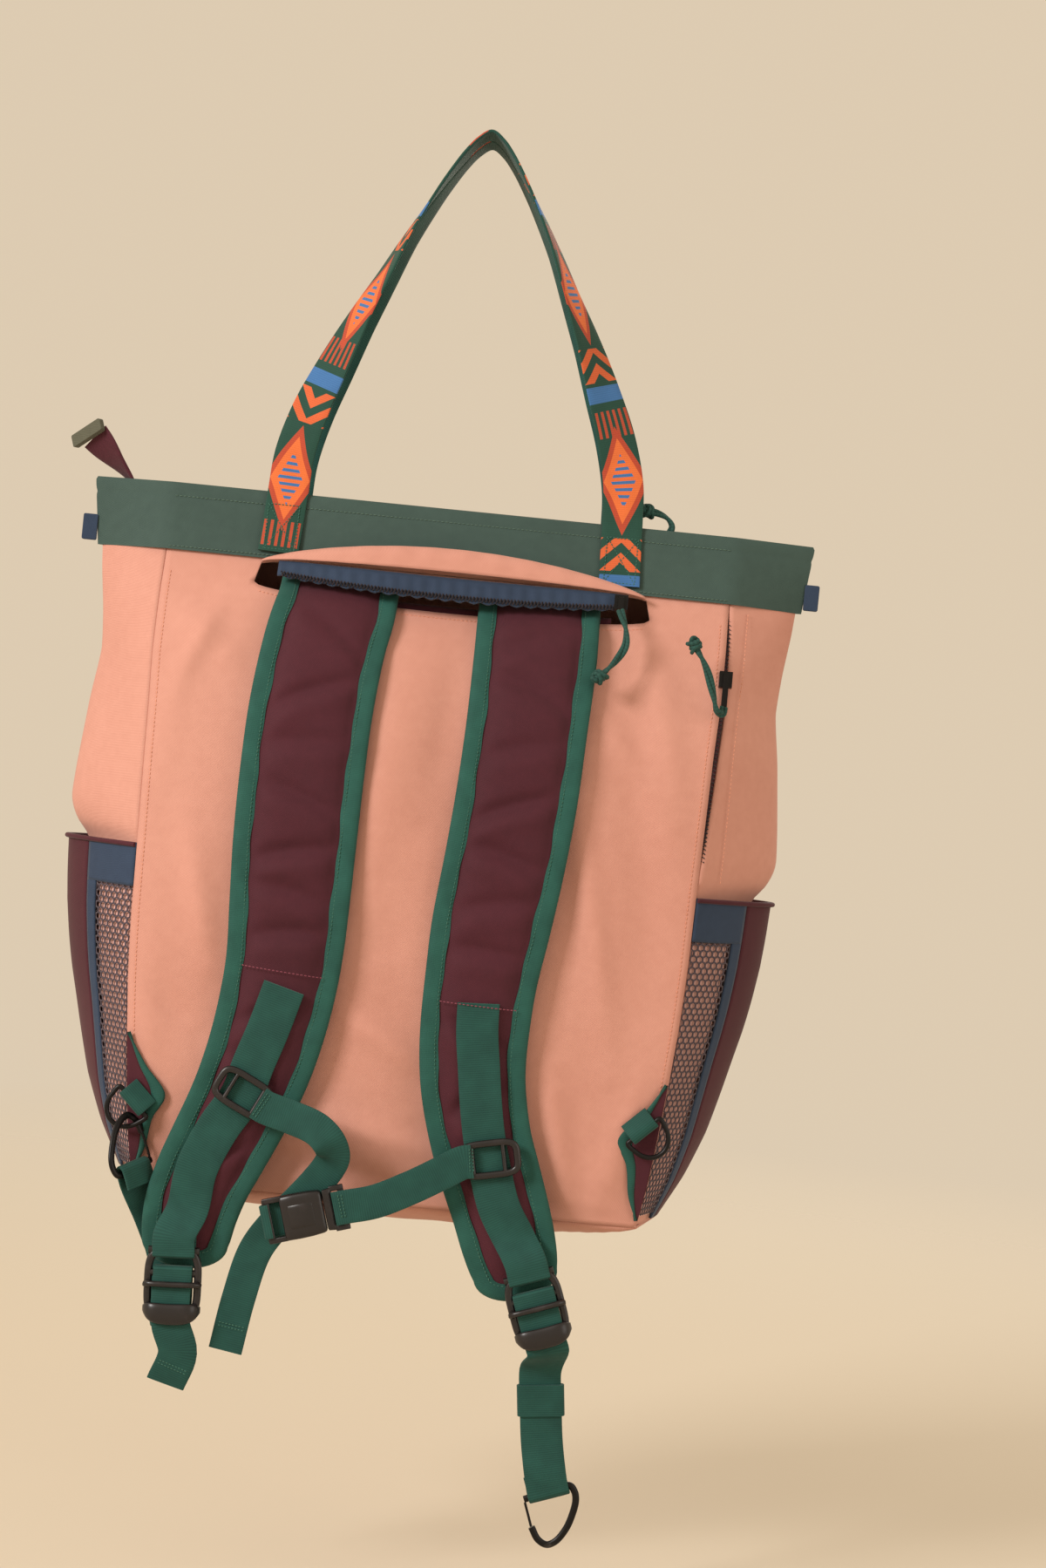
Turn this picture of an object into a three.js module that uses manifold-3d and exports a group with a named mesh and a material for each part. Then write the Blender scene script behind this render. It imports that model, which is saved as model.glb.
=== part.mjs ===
// Convertible backpack: a tall tote with hand loops and two padded shoulder straps.
// Millimetres, +Z up, +X to the right seen from the strap side, the straps on the -Y side.
// The origin is the grip point inside the top of the hand loops, from which the bag hangs.
import * as THREE from 'three';
import { mergeVertices } from 'three/addons/utils/BufferGeometryUtils.js';
import Module from 'manifold-3d';

const wasm = await Module();
wasm.setup();

// Bag body
const gripDrop = 229;
const bodyHeight = 422;
const foldWidth = 432;
const panelWidth = 340;
const bodyDepth = 124;
const panelBulge = 8;
const baseSag = 12;
const panelCloth = 1.8;
const seamGap = 0.3;
const touch = 0.3;

// Collar and top closure
const collarHeight = 42;
const collarCloth = 2.2;
const collarLap = 9;
const closureDrop = 12;
const closureBridge = 5;
const stripCloth = 1.2;
const zipTape = 6;
const zipThick = 1.6;
const zipEnd = 186;
const topSliderAt = 138;
const tailWidth = 24;
const tailRise = 22;
const tailRoot = 7;
const tailTurn = 55;
const tailSpans = 8;
const tailRows = [
  { out: -20, back: 0, up: -9 },
  { out: -13, back: 0, up: 1 },
  { out: -2, back: 1, up: tailRise * 0.55 },
  { out: 9, back: 2, up: tailRise },
];
const capHeight = 8;
const capLean = 25;
const capYaw = 40;
const capSeat = { out: 15, back: 2.6, up: 3.5 };
const tabStand = 3.2;
const capLength = 27;
const capThick = 4;
const tabLength = 9;
const tabHeight = 16;
const tabThick = 3;

// Slit pocket that the shoulder straps come out of
const slitWidth = 242;
const slitHeight = 22;
const slitDrop = 55.2;
const slitSlope = 8;
const slitPinch = 1.2;
const flapReach = 17;
const flapHeight = 17;
const slitTape = 17;
const tapeSlope = 8;
const facingWidth = 12;

// Side zip in the right seam
const sideZipLength = 158;
const sideZipStart = 46;
const sideZipGap = 6;
const sideZipTape = 11;

// Side pockets
const pocketMouth = 0.525;
const pocketStand = 11;
const pocketCloth = 1.6;
const elasticHeight = 26;
const meshColumns = 3;
const meshRows = 11;
const meshStrand = 1.3;

// Shoulder straps
const padLength = bodyHeight + 14;
const padWidth = 74;
const padThick = 11;
const padTuck = 3.4;
const padStand = 2.2;
const bindingWidth = 8;
const bindingCloth = 1.1;
const padRim = 2;
const webbing = 25;
const webbingThick = 1.6;

// Sternum strap and hardware
const sternumWidth = 20;
const sternumThick = 1.4;
const sliderLength = 36;
const sliderHeight = 23;
const sliderBar = 4;
const sliderThick = 3;
const buckleLength = 40;
const buckleWidth = 27;
const buckleThick = 9;
const socketLength = buckleLength * 0.62;
const socketWall = 2;
const socketEnd = 3;
const socketFrame = 12;
const plugFrame = 13;
const plugSeat = 7;
const buckleBar = 3.4;
const buckleRail = 3;
const buckleRails = [
  -buckleWidth / 2, buckleRail - buckleWidth / 2, buckleWidth / 2 - buckleRail, buckleWidth / 2,
];
const armLength = 15;
const armThick = 4;
const armSide = 7;
const wrapSeat = 4.7;
const lockWidth = 34;
const lockHeight = 44;
const lockThick = 3.2;
const lockRail = 4;
const lockBar = 4.5;
const lockSlot = 9;
const keeperHeight = 19;
const keeperCloth = 1.4;
const tabReach = 22;
const ringWire = 1.5;
const ringWidth = 27;
const ringDepth = 20;
const ringLoop = 18;
const ringSewn = 10;
const hookWire = 1.6;
const hookLength = 31;
const hookWidth = 31;
const gateWire = 0.8;

// Hand loops
const handleSpread = 206;
const handleWidth = 25;
const handleThick = 1.8;
const handleSide = 13;

// Pull cords, doubled
const cordThick = 5;
const cordSides = 8;
const cordSteps = 12;

// Colours and finishes of the real materials
const cloths = {
  pink: { color: 0xe4a68e, roughness: 0.85, metalness: 0 },
  collar: { color: 0x4c6057, roughness: 0.85, metalness: 0 },
  green: { color: 0x2a5f52, roughness: 0.75, metalness: 0 },
  burgundy: { color: 0x642d37, roughness: 0.85, metalness: 0 },
  navy: { color: 0x30425c, roughness: 0.85, metalness: 0 },
  olive: { color: 0x5f5f50, roughness: 0.8, metalness: 0 },
  black: { color: 0x322b2f, roughness: 0.45, metalness: 0 },
  pattern: { color: 0xb9582f, roughness: 0.8, metalness: 0 },
  metal: { color: 0x3a3a3c, roughness: 0.4, metalness: 0.9 },
};

// Body sections, from the collar's top edge (0) to the base seam (1), as shares of the body's named sizes
const bodyRows = [
  { down: 0.0, fold: 1.023, panel: 1.02, depth: 0.19, bulge: 0.0, pocket: 0 },
  { down: 0.1, fold: 1.0, panel: 1.018, depth: 0.38, bulge: 0.1, pocket: 0 },
  { down: 0.17, fold: 0.99, panel: 1.018, depth: 0.58, bulge: 0.35, pocket: 0 },
  { down: 0.25, fold: 0.975, panel: 1.015, depth: 0.74, bulge: 0.65, pocket: 0 },
  { down: 0.32, fold: 0.992, panel: 1.006, depth: 0.83, bulge: 0.9, pocket: 0 },
  { down: 0.4, fold: 1.004, panel: 1.0, depth: 0.9, bulge: 1.0, pocket: 0 },
  { down: 0.52, fold: 1.012, panel: 0.991, depth: 0.97, bulge: 1.0, pocket: 1 },
  { down: 0.66, fold: 0.99, panel: 0.982, depth: 1.0, bulge: 1.0, pocket: 0.8 },
  { down: 0.76, fold: 0.944, panel: 0.965, depth: 1.0, bulge: 1.0, pocket: 0.55 },
  { down: 0.86, fold: 0.898, panel: 0.941, depth: 1.0, bulge: 0.9, pocket: 0.3 },
  { down: 0.93, fold: 0.845, panel: 0.922, depth: 0.98, bulge: 0.7, pocket: 0.18 },
  { down: 1.0, fold: 0.769, panel: 0.894, depth: 0.94, bulge: 0.4, pocket: 0.1 },
];

// Shoulder pads: share of the pad's length, place across as a share of the half panel, width as a share
const leftPadRows = [
  { down: 0.0, across: -0.378, wide: 0.97, thick: 0.45 },
  { down: 0.045, across: -0.378, wide: 0.97, thick: 0.45 },
  { down: 0.085, across: -0.381, wide: 0.98, thick: 0.7 },
  { down: 0.133, across: -0.403, wide: 0.99, thick: 1 },
  { down: 0.225, across: -0.424, wide: 1.0, thick: 1 },
  { down: 0.317, across: -0.43, wide: 1.0, thick: 1 },
  { down: 0.41, across: -0.43, wide: 0.99, thick: 1 },
  { down: 0.5, across: -0.426, wide: 0.96, thick: 1 },
  { down: 0.575, across: -0.426, wide: 0.925, thick: 1 },
  { down: 0.65, across: -0.447, wide: 0.9, thick: 1 },
  { down: 0.718, across: -0.483, wide: 0.87, thick: 1 },
  { down: 0.775, across: -0.53, wide: 0.835, thick: 1 },
  { down: 0.826, across: -0.582, wide: 0.81, thick: 1 },
  { down: 0.88, across: -0.636, wide: 0.78, thick: 0.95 },
  { down: 0.924, across: -0.664, wide: 0.755, thick: 0.9 },
  { down: 0.966, across: -0.672, wide: 0.69, thick: 0.7 },
  { down: 1.0, across: -0.672, wide: 0.5, thick: 0.62 },
];
const rightPadRows = [
  { down: 0.0, across: 0.34, wide: 1.0, thick: 0.45 },
  { down: 0.045, across: 0.34, wide: 1.0, thick: 0.45 },
  { down: 0.085, across: 0.341, wide: 1.0, thick: 0.75 },
  { down: 0.133, across: 0.342, wide: 1.0, thick: 1 },
  { down: 0.225, across: 0.336, wide: 0.98, thick: 1 },
  { down: 0.317, across: 0.326, wide: 0.98, thick: 1 },
  { down: 0.41, across: 0.306, wide: 0.97, thick: 1 },
  { down: 0.5, across: 0.28, wide: 0.95, thick: 1 },
  { down: 0.569, across: 0.265, wide: 0.9, thick: 1 },
  { down: 0.638, across: 0.26, wide: 0.875, thick: 1 },
  { down: 0.695, across: 0.267, wide: 0.85, thick: 1 },
  { down: 0.741, across: 0.288, wide: 0.83, thick: 1 },
  { down: 0.787, across: 0.32, wide: 0.81, thick: 1 },
  { down: 0.833, across: 0.364, wide: 0.8, thick: 0.98 },
  { down: 0.878, across: 0.41, wide: 0.78, thick: 0.95 },
  { down: 0.924, across: 0.452, wide: 0.755, thick: 0.9 },
  { down: 0.964, across: 0.485, wide: 0.68, thick: 0.7 },
  { down: 1.0, across: 0.506, wide: 0.5, thick: 0.62 },
];

// Hand loop legs: share of the drop from grip to collar, place across as a share of half the spread,
// and the turn of the webbing in degrees, flat against the collar (0) to edge on (90)
// The loops end a hem above the collar's lower edge, flare a little there, and rise a little at the grip
const handleHem = 4;
const handleFlare = 1.5;
const gripRise = 1.5;
const handleRows = [
  { down: 1.0, across: 1.0, turn: 0 },
  { down: 0.9, across: 0.985, turn: 6 },
  { down: 0.78, across: 0.92, turn: 18 },
  { down: 0.65, across: 0.81, turn: 34 },
  { down: 0.52, across: 0.69, turn: 52 },
  { down: 0.4, across: 0.565, turn: 66 },
  { down: 0.27, across: 0.43, turn: 78 },
  { down: 0.14, across: 0.27, turn: 86 },
  { down: 0.06, across: 0.155, turn: 90 },
  { down: 0.015, across: 0.075, turn: 90 },
];

const halfPanel = panelWidth / 2;
const halfFold = foldWidth / 2;
const halfDepth = bodyDepth / 2;
const baseSeam = -(gripDrop + bodyHeight);
const TURN = Math.PI / 180;

// Small helpers for numbers and vectors
const V = (x, y, z) => new THREE.Vector3(x, y, z);
const mix = THREE.MathUtils.lerp;
const steps = (count, from = 0, to = 1) =>
  Array.from({ length: count + 1 }, (_, i) => mix(from, to, i / count));

// Reads a named column of a table at a share of the length, as a smooth curve through the rows
function column(rows, name, at, key = 'down') {
  let i = rows.findIndex((row) => row[key] > at) - 1;
  if (i < -1 || i > rows.length - 2) i = rows.length - 2;
  i = Math.max(i, 0);
  const a = rows[i];
  const b = rows[i + 1];
  const before = rows[Math.max(i - 1, 0)];
  const after = rows[Math.min(i + 2, rows.length - 1)];
  const span = b[key] - a[key];
  const t = (at - a[key]) / span;
  const slopeA = ((b[name] - before[name]) / (b[key] - before[key])) * span;
  const slopeB = ((after[name] - a[name]) / (after[key] - a[key])) * span;
  const t2 = t * t;
  const t3 = t2 * t;
  return (2 * t3 - 3 * t2 + 1) * a[name] + (t3 - 2 * t2 + t) * slopeA
    + (3 * t2 - 2 * t3) * b[name] + (t3 - t2) * slopeB;
}

const bodyZ = (down) => -gripDrop - down * bodyHeight;
const downOf = (z) => (-z - gripDrop) / bodyHeight;

// All walls of the body bend at the same levels, so that one lies flat on the next
const collarLine = collarHeight / bodyHeight;
const lapLine = (collarHeight - collarLap) / bodyHeight;
const below = [0.135, 0.17, 0.25, 0.33, 0.42, 0.49, pocketMouth, 0.62, 0.72, 0.8, 0.87, 0.935, 1];
const levels = [0, lapLine / 2, lapLine, collarLine, ...below];
const levelsBetween = (from, to) => [from, ...levels.filter((l) => l > from && l < to), to];

// A column of the body's table, straight between two levels
function levelColumn(name, down) {
  const i = Math.min(Math.max(levels.findIndex((l) => l > down), 1), levels.length - 1);
  const above = down >= 1 ? levels.length - 1 : i;
  const [a, b] = [levels[above - 1], levels[above]];
  return mix(column(bodyRows, name, a), column(bodyRows, name, b), (down - a) / (b - a));
}

// The body's section at a share of its height, with its wall moved inwards by inset
function ring(down, inset = 0) {
  return {
    z: bodyZ(down),
    panel: halfPanel * levelColumn('panel', down) - inset * 0.55,
    fold: halfFold * levelColumn('fold', down) - inset * 1.15,
    depth: halfDepth * levelColumn('depth', down) - inset,
    bulge: panelBulge * levelColumn('bulge', down),
    pocket: pocketStand * Math.max(0, levelColumn('pocket', down)),
  };
}

// A point of the back panel (face -1) or the front panel (face 1); across runs from -1 to 1
function panelPoint(face, down, across, inset = 0) {
  const r = ring(down, inset);
  return V(across * r.panel, face * (r.depth + r.bulge * (1 - across * across)), r.z);
}

// A point of a gusset; turn runs from -1 at the back seam over 0 at the fold to 1 at the front seam
function gussetPoint(side, down, turn, inset = 0, pulledIn = 0) {
  const r = ring(down, inset);
  const out = 1 - Math.abs(turn);
  return V(side * (mix(r.panel, r.fold - pulledIn, out)), turn * r.depth, r.z);
}

// A point of a side pocket's wall, which stands off the gusset and is rounder than it
function pocketPoint(side, down, turn, inset = 0) {
  const r = ring(down, inset);
  const out = 1 - Math.abs(turn) ** 1.5;
  return V(side * mix(r.panel, r.fold, out), turn * r.depth, r.z);
}

// Closed body from flat lists of corners and faces, turned so that its faces point out
function solidGeometry(points, faces) {
  const flat = faces.flat();
  let volume = 0;
  for (let i = 0; i < flat.length; i += 3) {
    const [a, b, c] = [points[flat[i]], points[flat[i + 1]], points[flat[i + 2]]];
    volume += a.dot(b.clone().cross(c));
  }
  const index = volume < 0 ? faces.flatMap(([a, b, c]) => [a, c, b]) : flat;
  const geometry = new THREE.BufferGeometry().setFromPoints(points);
  geometry.setIndex(index);
  geometry.computeVertexNormals();
  return geometry;
}

// A sheet with thickness: outer(u, v) and inner(u, v) give its two faces over a grid of cells.
// open(i, j) says which cells are cut through; wrap closes the sheet round in u.
function sheet(outer, inner, us, vs, { open = () => false, wrap = false } = {}) {
  const nu = us.length;
  const columns = wrap ? nu : nu - 1;
  const rows = vs.length - 1;
  const points = [];
  for (const v of vs) for (const u of us) points.push(outer(u, v));
  for (const v of vs) for (const u of us) points.push(inner(u, v));
  const back = nu * vs.length;
  const corner = (i, j) => j * nu + (i % nu);
  const solid = (i, j) => {
    const column_ = wrap ? (i + columns) % columns : i;
    return column_ >= 0 && column_ < columns && j >= 0 && j < rows && !open(column_, j);
  };
  const faces = [];
  const quad = (a, b, c, d) => faces.push([a, b, c], [a, c, d]);
  for (let j = 0; j < rows; j++) {
    for (let i = 0; i < columns; i++) {
      if (!solid(i, j)) continue;
      const [a, b, c, d] = [corner(i, j), corner(i + 1, j), corner(i + 1, j + 1), corner(i, j + 1)];
      quad(a, b, c, d);
      quad(back + a, back + d, back + c, back + b);
      if (!solid(i, j - 1)) quad(b, a, back + a, back + b);
      if (!solid(i + 1, j)) quad(c, b, back + b, back + c);
      if (!solid(i, j + 1)) quad(d, c, back + c, back + d);
      if (!solid(i - 1, j)) quad(a, d, back + d, back + a);
    }
  }
  return solidGeometry(points, faces);
}

// A section carried along a path. Each station has a place and two axes; the section's corners are
// pairs of lengths along them, either one list for all stations or a function of the station's number.
function sweep(stations, section, closed = false) {
  const shapeAt = typeof section === 'function' ? section : () => section;
  const sides = shapeAt(0).length;
  const points = [];
  stations.forEach((s, i) => {
    for (const [a, b] of shapeAt(i)) {
      points.push(s.at.clone().addScaledVector(s.side, a).addScaledVector(s.up, b));
    }
  });
  const faces = [];
  const rings = closed ? stations.length : stations.length - 1;
  for (let i = 0; i < rings; i++) {
    const next = (i + 1) % stations.length;
    for (let k = 0; k < sides; k++) {
      const l = (k + 1) % sides;
      faces.push([i * sides + k, i * sides + l, next * sides + l]);
      faces.push([i * sides + k, next * sides + l, next * sides + k]);
    }
  }
  if (!closed) {
    const cap = (i) => THREE.ShapeUtils.triangulateShape(
      shapeAt(i).map(([a, b]) => new THREE.Vector2(a, b)), []);
    const last = stations.length - 1;
    cap(0).forEach(([a, b, c]) => faces.push([a, c, b]));
    cap(last).forEach(([a, b, c]) => faces.push([last * sides + a, last * sides + b, last * sides + c]));
  }
  return solidGeometry(points, faces);
}

// Stations along a smooth curve through points, with the width across the way and the given facing
function stationsAlong(points, count, { facing = V(0, -1, 0), side = null, turns = null, closed = false } = {}) {
  const curve = new THREE.CatmullRomCurve3(points, closed, 'centripetal');
  const total = closed ? count : count + 1;
  return Array.from({ length: total }, (_, i) => {
    const t = i / count;
    const at = curve.getPoint(t);
    const along = curve.getTangent(t);
    let across = side
      ? side.clone().addScaledVector(along, -side.dot(along)).normalize()
      : along.clone().cross(facing).normalize();
    let up = across.clone().cross(along).normalize();
    if (turns) {
      const angle = turns(t) * TURN;
      const turned = across.clone().multiplyScalar(Math.cos(angle)).addScaledVector(up, Math.sin(angle));
      across = turned;
      up = across.clone().cross(along).normalize();
    }
    return { at, side: across, up, along };
  });
}

const boxSection = (wide, thick) => [
  [-wide / 2, -thick / 2], [wide / 2, -thick / 2], [wide / 2, thick / 2], [-wide / 2, thick / 2],
];
const roundSection = (radius, sides) =>
  Array.from({ length: sides }, (_, i) => {
    const angle = (i / sides) * 2 * Math.PI;
    return [radius * Math.cos(angle), radius * Math.sin(angle)];
  });

// A strap of webbing through points
const strap = (points, count, wide, thick, options) =>
  sweep(stationsAlong(points, count, options), boxSection(wide, thick));

// A bent wire through points
const wire = (points, count, radius, sides, options) =>
  sweep(stationsAlong(points, count, options), roundSection(radius, sides), options?.closed);

// A flat frame with slots, in its own plane: x across, z up, thickness in y
function slottedPlate(wide, thick, xs, zs, open, bow = 0) {
  const face = (y) => (u, v) => V(u, y - bow * (1 - (2 * u / wide) ** 2), v);
  return sheet(face(-thick / 2), face(thick / 2), xs, zs, { open });
}

// Joins or cuts closed bodies
function toManifold(geometry) {
  const bare = geometry.index ? geometry.toNonIndexed() : geometry.clone();
  bare.deleteAttribute('normal');
  bare.deleteAttribute('uv');
  const merged = mergeVertices(bare, 1e-4);
  return new wasm.Manifold(new wasm.Mesh({
    numProp: 3,
    vertProperties: merged.attributes.position.array,
    triVerts: new Uint32Array(merged.index.array),
  }));
}
function fromManifold(solid) {
  const { vertProperties, triVerts } = solid.getMesh();
  const geometry = new THREE.BufferGeometry();
  geometry.setAttribute('position', new THREE.BufferAttribute(vertProperties, 3));
  geometry.setIndex(new THREE.BufferAttribute(triVerts, 1));
  geometry.computeVertexNormals();
  return geometry;
}
function combine(first, how, ...others) {
  return fromManifold(others.reduce((body, other) => body[how](toManifold(other)), toManifold(first)));
}
const placedBox = (wide, deep, high, x, y, z) =>
  new THREE.BoxGeometry(wide, deep, high).translate(x, y, z);

const bag = new THREE.Group();

function add(name, geometry, cloth, parent = bag) {
  const mesh = new THREE.Mesh(geometry, new THREE.MeshStandardMaterial(cloths[cloth]));
  mesh.name = name;
  parent.add(mesh);
  return mesh;
}

// The slit's lips: its upper and lower edge across the panel, and how far it is open there
const slitMiddle = 4;
const slitShare = (x) => Math.max(0, 1 - ((x - slitMiddle) / (slitWidth / 2)) ** 2);
const slitBelow = (x) => slitDrop + slitSlope * Math.sqrt(slitShare(x)) + slitSlope / 4;
const slitAbove = (x) => slitBelow(x) - slitPinch - (slitHeight - slitPinch) * slitShare(x) ** 0.15;

const slitSteps = [-1, -0.92, -0.75, -0.4, 0, 0.4, 0.75, 0.92, 1];
const slitAboveLine = (x) => slitAbove(x) / bodyHeight;
const slitBelowLine = (x) => slitBelow(x) / bodyHeight;

// Back panel, cut through at the slit that the straps come out of
function backPanel() {
  const inSlit = slitSteps.map((share) => slitMiddle + share * slitWidth / 2);
  const reach = halfPanel * 1.018;
  const xs = [-reach, -reach * 0.86, ...inSlit, reach * 0.86, reach];
  const us = xs.map((x) => x / reach);
  const edge = 1 - seamGap / halfPanel;
  const rest = levelsBetween(0.17, 1 - seamGap / bodyHeight);
  const lips = [() => lapLine, () => collarLine, slitAboveLine, slitBelowLine];
  const vs = [...lips.keys(), ...rest.map((down) => lips.length + down)];
  const downAt = (u, v) => (v < lips.length ? lips[v](u * reach) : v - lips.length);
  const face = (inset) => (u, v) => panelPoint(-1, downAt(u, v), u * edge, inset);
  const open = (i, j) => j === 2 && i >= 2 && i <= inSlit.length;
  return sheet(face(0), face(panelCloth), us, vs, { open });
}

function frontPanel() {
  const edge = 1 - seamGap / halfPanel;
  const vs = levelsBetween(lapLine, 1 - seamGap / bodyHeight);
  const face = (inset) => (u, v) => panelPoint(1, v, u * edge, inset);
  return sheet(face(0), face(panelCloth), steps(6, -1, 1), vs);
}

// A gusset: folded at mid depth, pulled in behind its pocket, set back from the side zip's gap
function gusset(side) {
  const vs = levelsBetween(lapLine, 1 - seamGap / bodyHeight);
  const zipFrom = sideZipStart / bodyHeight;
  const zipTo = (sideZipStart + sideZipLength) / bodyHeight;
  const zipGap = (v) => {
    if (side < 0 || v < zipFrom || v > zipTo) return 0;
    return sideZipGap * Math.sin(Math.PI * (v - zipFrom) / (zipTo - zipFrom));
  };
  const girth = Math.hypot(halfFold - halfPanel, halfDepth);
  const face = (inset) => (u, v) => {
    const back = -1 + (seamGap + zipGap(v)) / girth;
    const turn = u < 0 ? -u * back : u * (1 - seamGap / girth);
    const behind = v >= pocketMouth ? 1 : THREE.MathUtils.smoothstep(v, 0.4, 0.58);
    const under = v >= pocketMouth ? pocketCloth + touch * 1.5 : 0;
    return gussetPoint(side, v, turn, inset + under, ring(v).pocket * behind);
  };
  const us = [-1, -0.5, 0, 0.5, 1].map((u) => u * side);
  return sheet(face(0), face(panelCloth), us, vs);
}

// Base: a flat floor between the four lower seams
function basePanel() {
  const r = ring(1);
  const flat = 0.6;
  const outline = (u, w) => {
    const end = r.fold * Math.sign(u) * Math.min(Math.abs(u), 1);
    return V(mix(u * r.panel, end, 1 - Math.abs(w)), w * (r.depth - seamGap), 0);
  };
  const sag = (u, w) => Math.min(1, (1 - Math.max(Math.abs(u), Math.abs(w))) / (1 - flat));
  const face = (inset) => (u, w) => {
    const p = outline(u * (1 - seamGap / halfPanel), w);
    p.z = baseSeam - touch - (panelCloth - inset) - (baseSag - panelCloth) * sag(u, w);
    return p;
  };
  const grid = [-1, -flat, 0, flat, 1];
  return sheet(face(0), face(panelCloth), [-1, -0.8, -flat, 0, flat, 0.8, 1], grid);
}

// Walks once round the body's section: the panels' and gussets' points in order
function loopPoint(turn, down, inset) {
  const quarter = Math.floor(turn) % 4;
  const part = turn - Math.floor(turn);
  if (quarter === 0) return panelPoint(-1, down, mix(-1, 1, part), inset);
  if (quarter === 1) return gussetPoint(1, down, mix(-1, 1, part), inset);
  if (quarter === 2) return panelPoint(1, down, mix(1, -1, part), inset);
  return gussetPoint(-1, down, mix(1, -1, part), inset);
}

function collarBand() {
  const quarters = [steps(6, 0, 1), steps(4, 1, 2), steps(6, 2, 3), steps(4, 3, 4)];
  const us = quarters.flatMap((quarter) => quarter.slice(0, -1));
  const face = (inset) => (u, v) => loopPoint(u, v, inset);
  const vs = levelsBetween(0, collarLine);
  return sheet(face(-touch - collarCloth), face(-touch), us, vs, { wrap: true });
}

// Closure: a strip inside the collar, split along its middle for the zip, whole at the zip's closed end
function closureStrip() {
  const r = ring(closureDrop / bodyHeight);
  const inner = zipTape / 2 + touch;
  const wall = (x) => r.depth * Math.min(1, (r.fold - Math.abs(x)) / (r.fold - r.panel)) - touch;
  const face = (lift) => (x, y) => V(x, Math.abs(y) < 2 ? y * inner : Math.sign(y) * wall(x), r.z + lift);
  const xs = [-zipEnd, -zipEnd + closureBridge, -r.panel, r.panel, zipEnd];
  const open = (i, j) => i > 0 && j === 1;
  return sheet(face(stripCloth / 2), face(-stripCloth / 2), xs, [-2, -1, 1, 2], { open });
}
function topZip() {
  const z = bodyZ(closureDrop / bodyHeight);
  const points = [V(-zipEnd + closureBridge + touch, 0, z), V(topSliderAt, 0, z)];
  return strap(points, 6, zipTape, zipThick, { facing: V(0, 0, 1) });
}

// A zip slider: a small body with a pull tab standing off it
function zipSlider(tab) {
  const body = placedBox(8, sliderBody, 10, 0, 0, 0);
  const crown = placedBox(3, 2, 7, 0, -2.2, 0);
  const pull = placedBox(3.4, 1, tab, 0, -3.4, -tab / 2 + 2);
  return combine(body, 'add', crown, pull);
}

// The three sliders on their zips
const sliderBody = 3;
const shortTab = 8;
const longTab = 20;
function topSlider() {
  const lift = zipThick / 2 + touch + sliderBody / 2;
  return zipSlider(shortTab).rotateX(-90 * TURN).translate(topSliderAt - 5, 0, bodyZ(closureDrop / bodyHeight) + lift);
}
const slitSliderAt = 0.845;
function slitSlider() {
  const [upper, lower] = [slitZipPoint(slitSliderAt, 0), slitZipPoint(slitSliderAt, 1)];
  const lean = Math.atan2(upper.y - lower.y, upper.z - lower.z);
  const seat = upper.lerp(lower, 0.5);
  return zipSlider(shortTab).rotateX(-lean).translate(seat.x, seat.y - sliderBody / 2 - touch * 2, seat.z);
}
const sideSliderZ = -318;
function sideSlider() {
  const seam = panelPoint(-1, downOf(sideSliderZ), 1);
  const lower = panelPoint(-1, downOf(sideSliderZ - longTab), 1);
  const lean = Math.atan2(seam.y - lower.y, seam.z - lower.z);
  return zipSlider(longTab).rotateX(-lean).translate(seam.x + 1, seam.y - sliderBody / 2 - touch * 2, seam.z);
}

// The cords' routes
const topCord = [
  V(133, -3, -234.1), V(133, -3, -230), V(134, -2, -225), V(131, -1, -220.5), V(125, -3, -218), V(115, -8, -217.5),
];
const slitCord = [
  V(106.2, -47.6, -282.8), V(107.5, -50.8, -286.5), V(110.5, -55, -295), V(111, -57, -304), V(106, -61, -314),
  V(95, -66, -327),
];
const sideCord = [
  V(173.8, -51.5, -334.9), V(173, -54, -339), V(169.5, -57, -337.5), V(166.5, -58.5, -329), V(160, -60, -312),
  V(150, -60, -297),
];

// A doubled pull cord with its knot at the end
function pullCord(points) {
  const route = new THREE.CatmullRomCurve3(points, false, 'centripetal');
  const section = new THREE.Shape(
    roundSection(cordThick / 2, cordSides).map(([a, b]) => new THREE.Vector2(a, b)));
  return new THREE.ExtrudeGeometry(section, {
    steps: cordSteps, extrudePath: route, bevelEnabled: false, curveSegments: 1,
  });
}

// The flap over the slit: a soft roll of cloth that starts at the collar and ends in the zip's lip
const flapSteps = steps(10, -0.97, 0.97);
const flapX = (u) => slitMiddle + u * slitWidth / 2;
function slitLine(u, across, drop) {
  const x = flapX(u);
  const share = slitShare(x);
  const down = slitAbove(x) / bodyHeight;
  const wall = panelPoint(-1, down, x / halfPanel);
  return V(x, wall.y - touch - across * share ** 0.3, wall.z + drop * share);
}
const flapRoot = collarCloth + touch * 3;
const flapSection = [
  { out: 0.0, up: 0.1 }, { out: 0.3, up: 0.75 }, { out: 0.62, up: 1.0 }, { out: 0.9, up: 0.72 }, { out: 1.0, up: 0.15 },
];
const flapSpot = (row) => {
  const { out, up } = flapSection[Math.min(Math.max(row, 0), flapSection.length - 1)];
  return new THREE.Vector2(flapReach * out, flapHeight * up);
};
function slitFlap() {
  const at = (inset) => (u, row) => {
    const along = flapSpot(row + 1).sub(flapSpot(row - 1)).normalize();
    const spot = flapSpot(row).add(new THREE.Vector2(along.y, -along.x).multiplyScalar(inset));
    return slitLine(u, flapRoot + spot.x, spot.y);
  };
  return sheet(at(0), at(panelCloth * 0.7), flapSteps, [...flapSection.keys()]);
}
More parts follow.
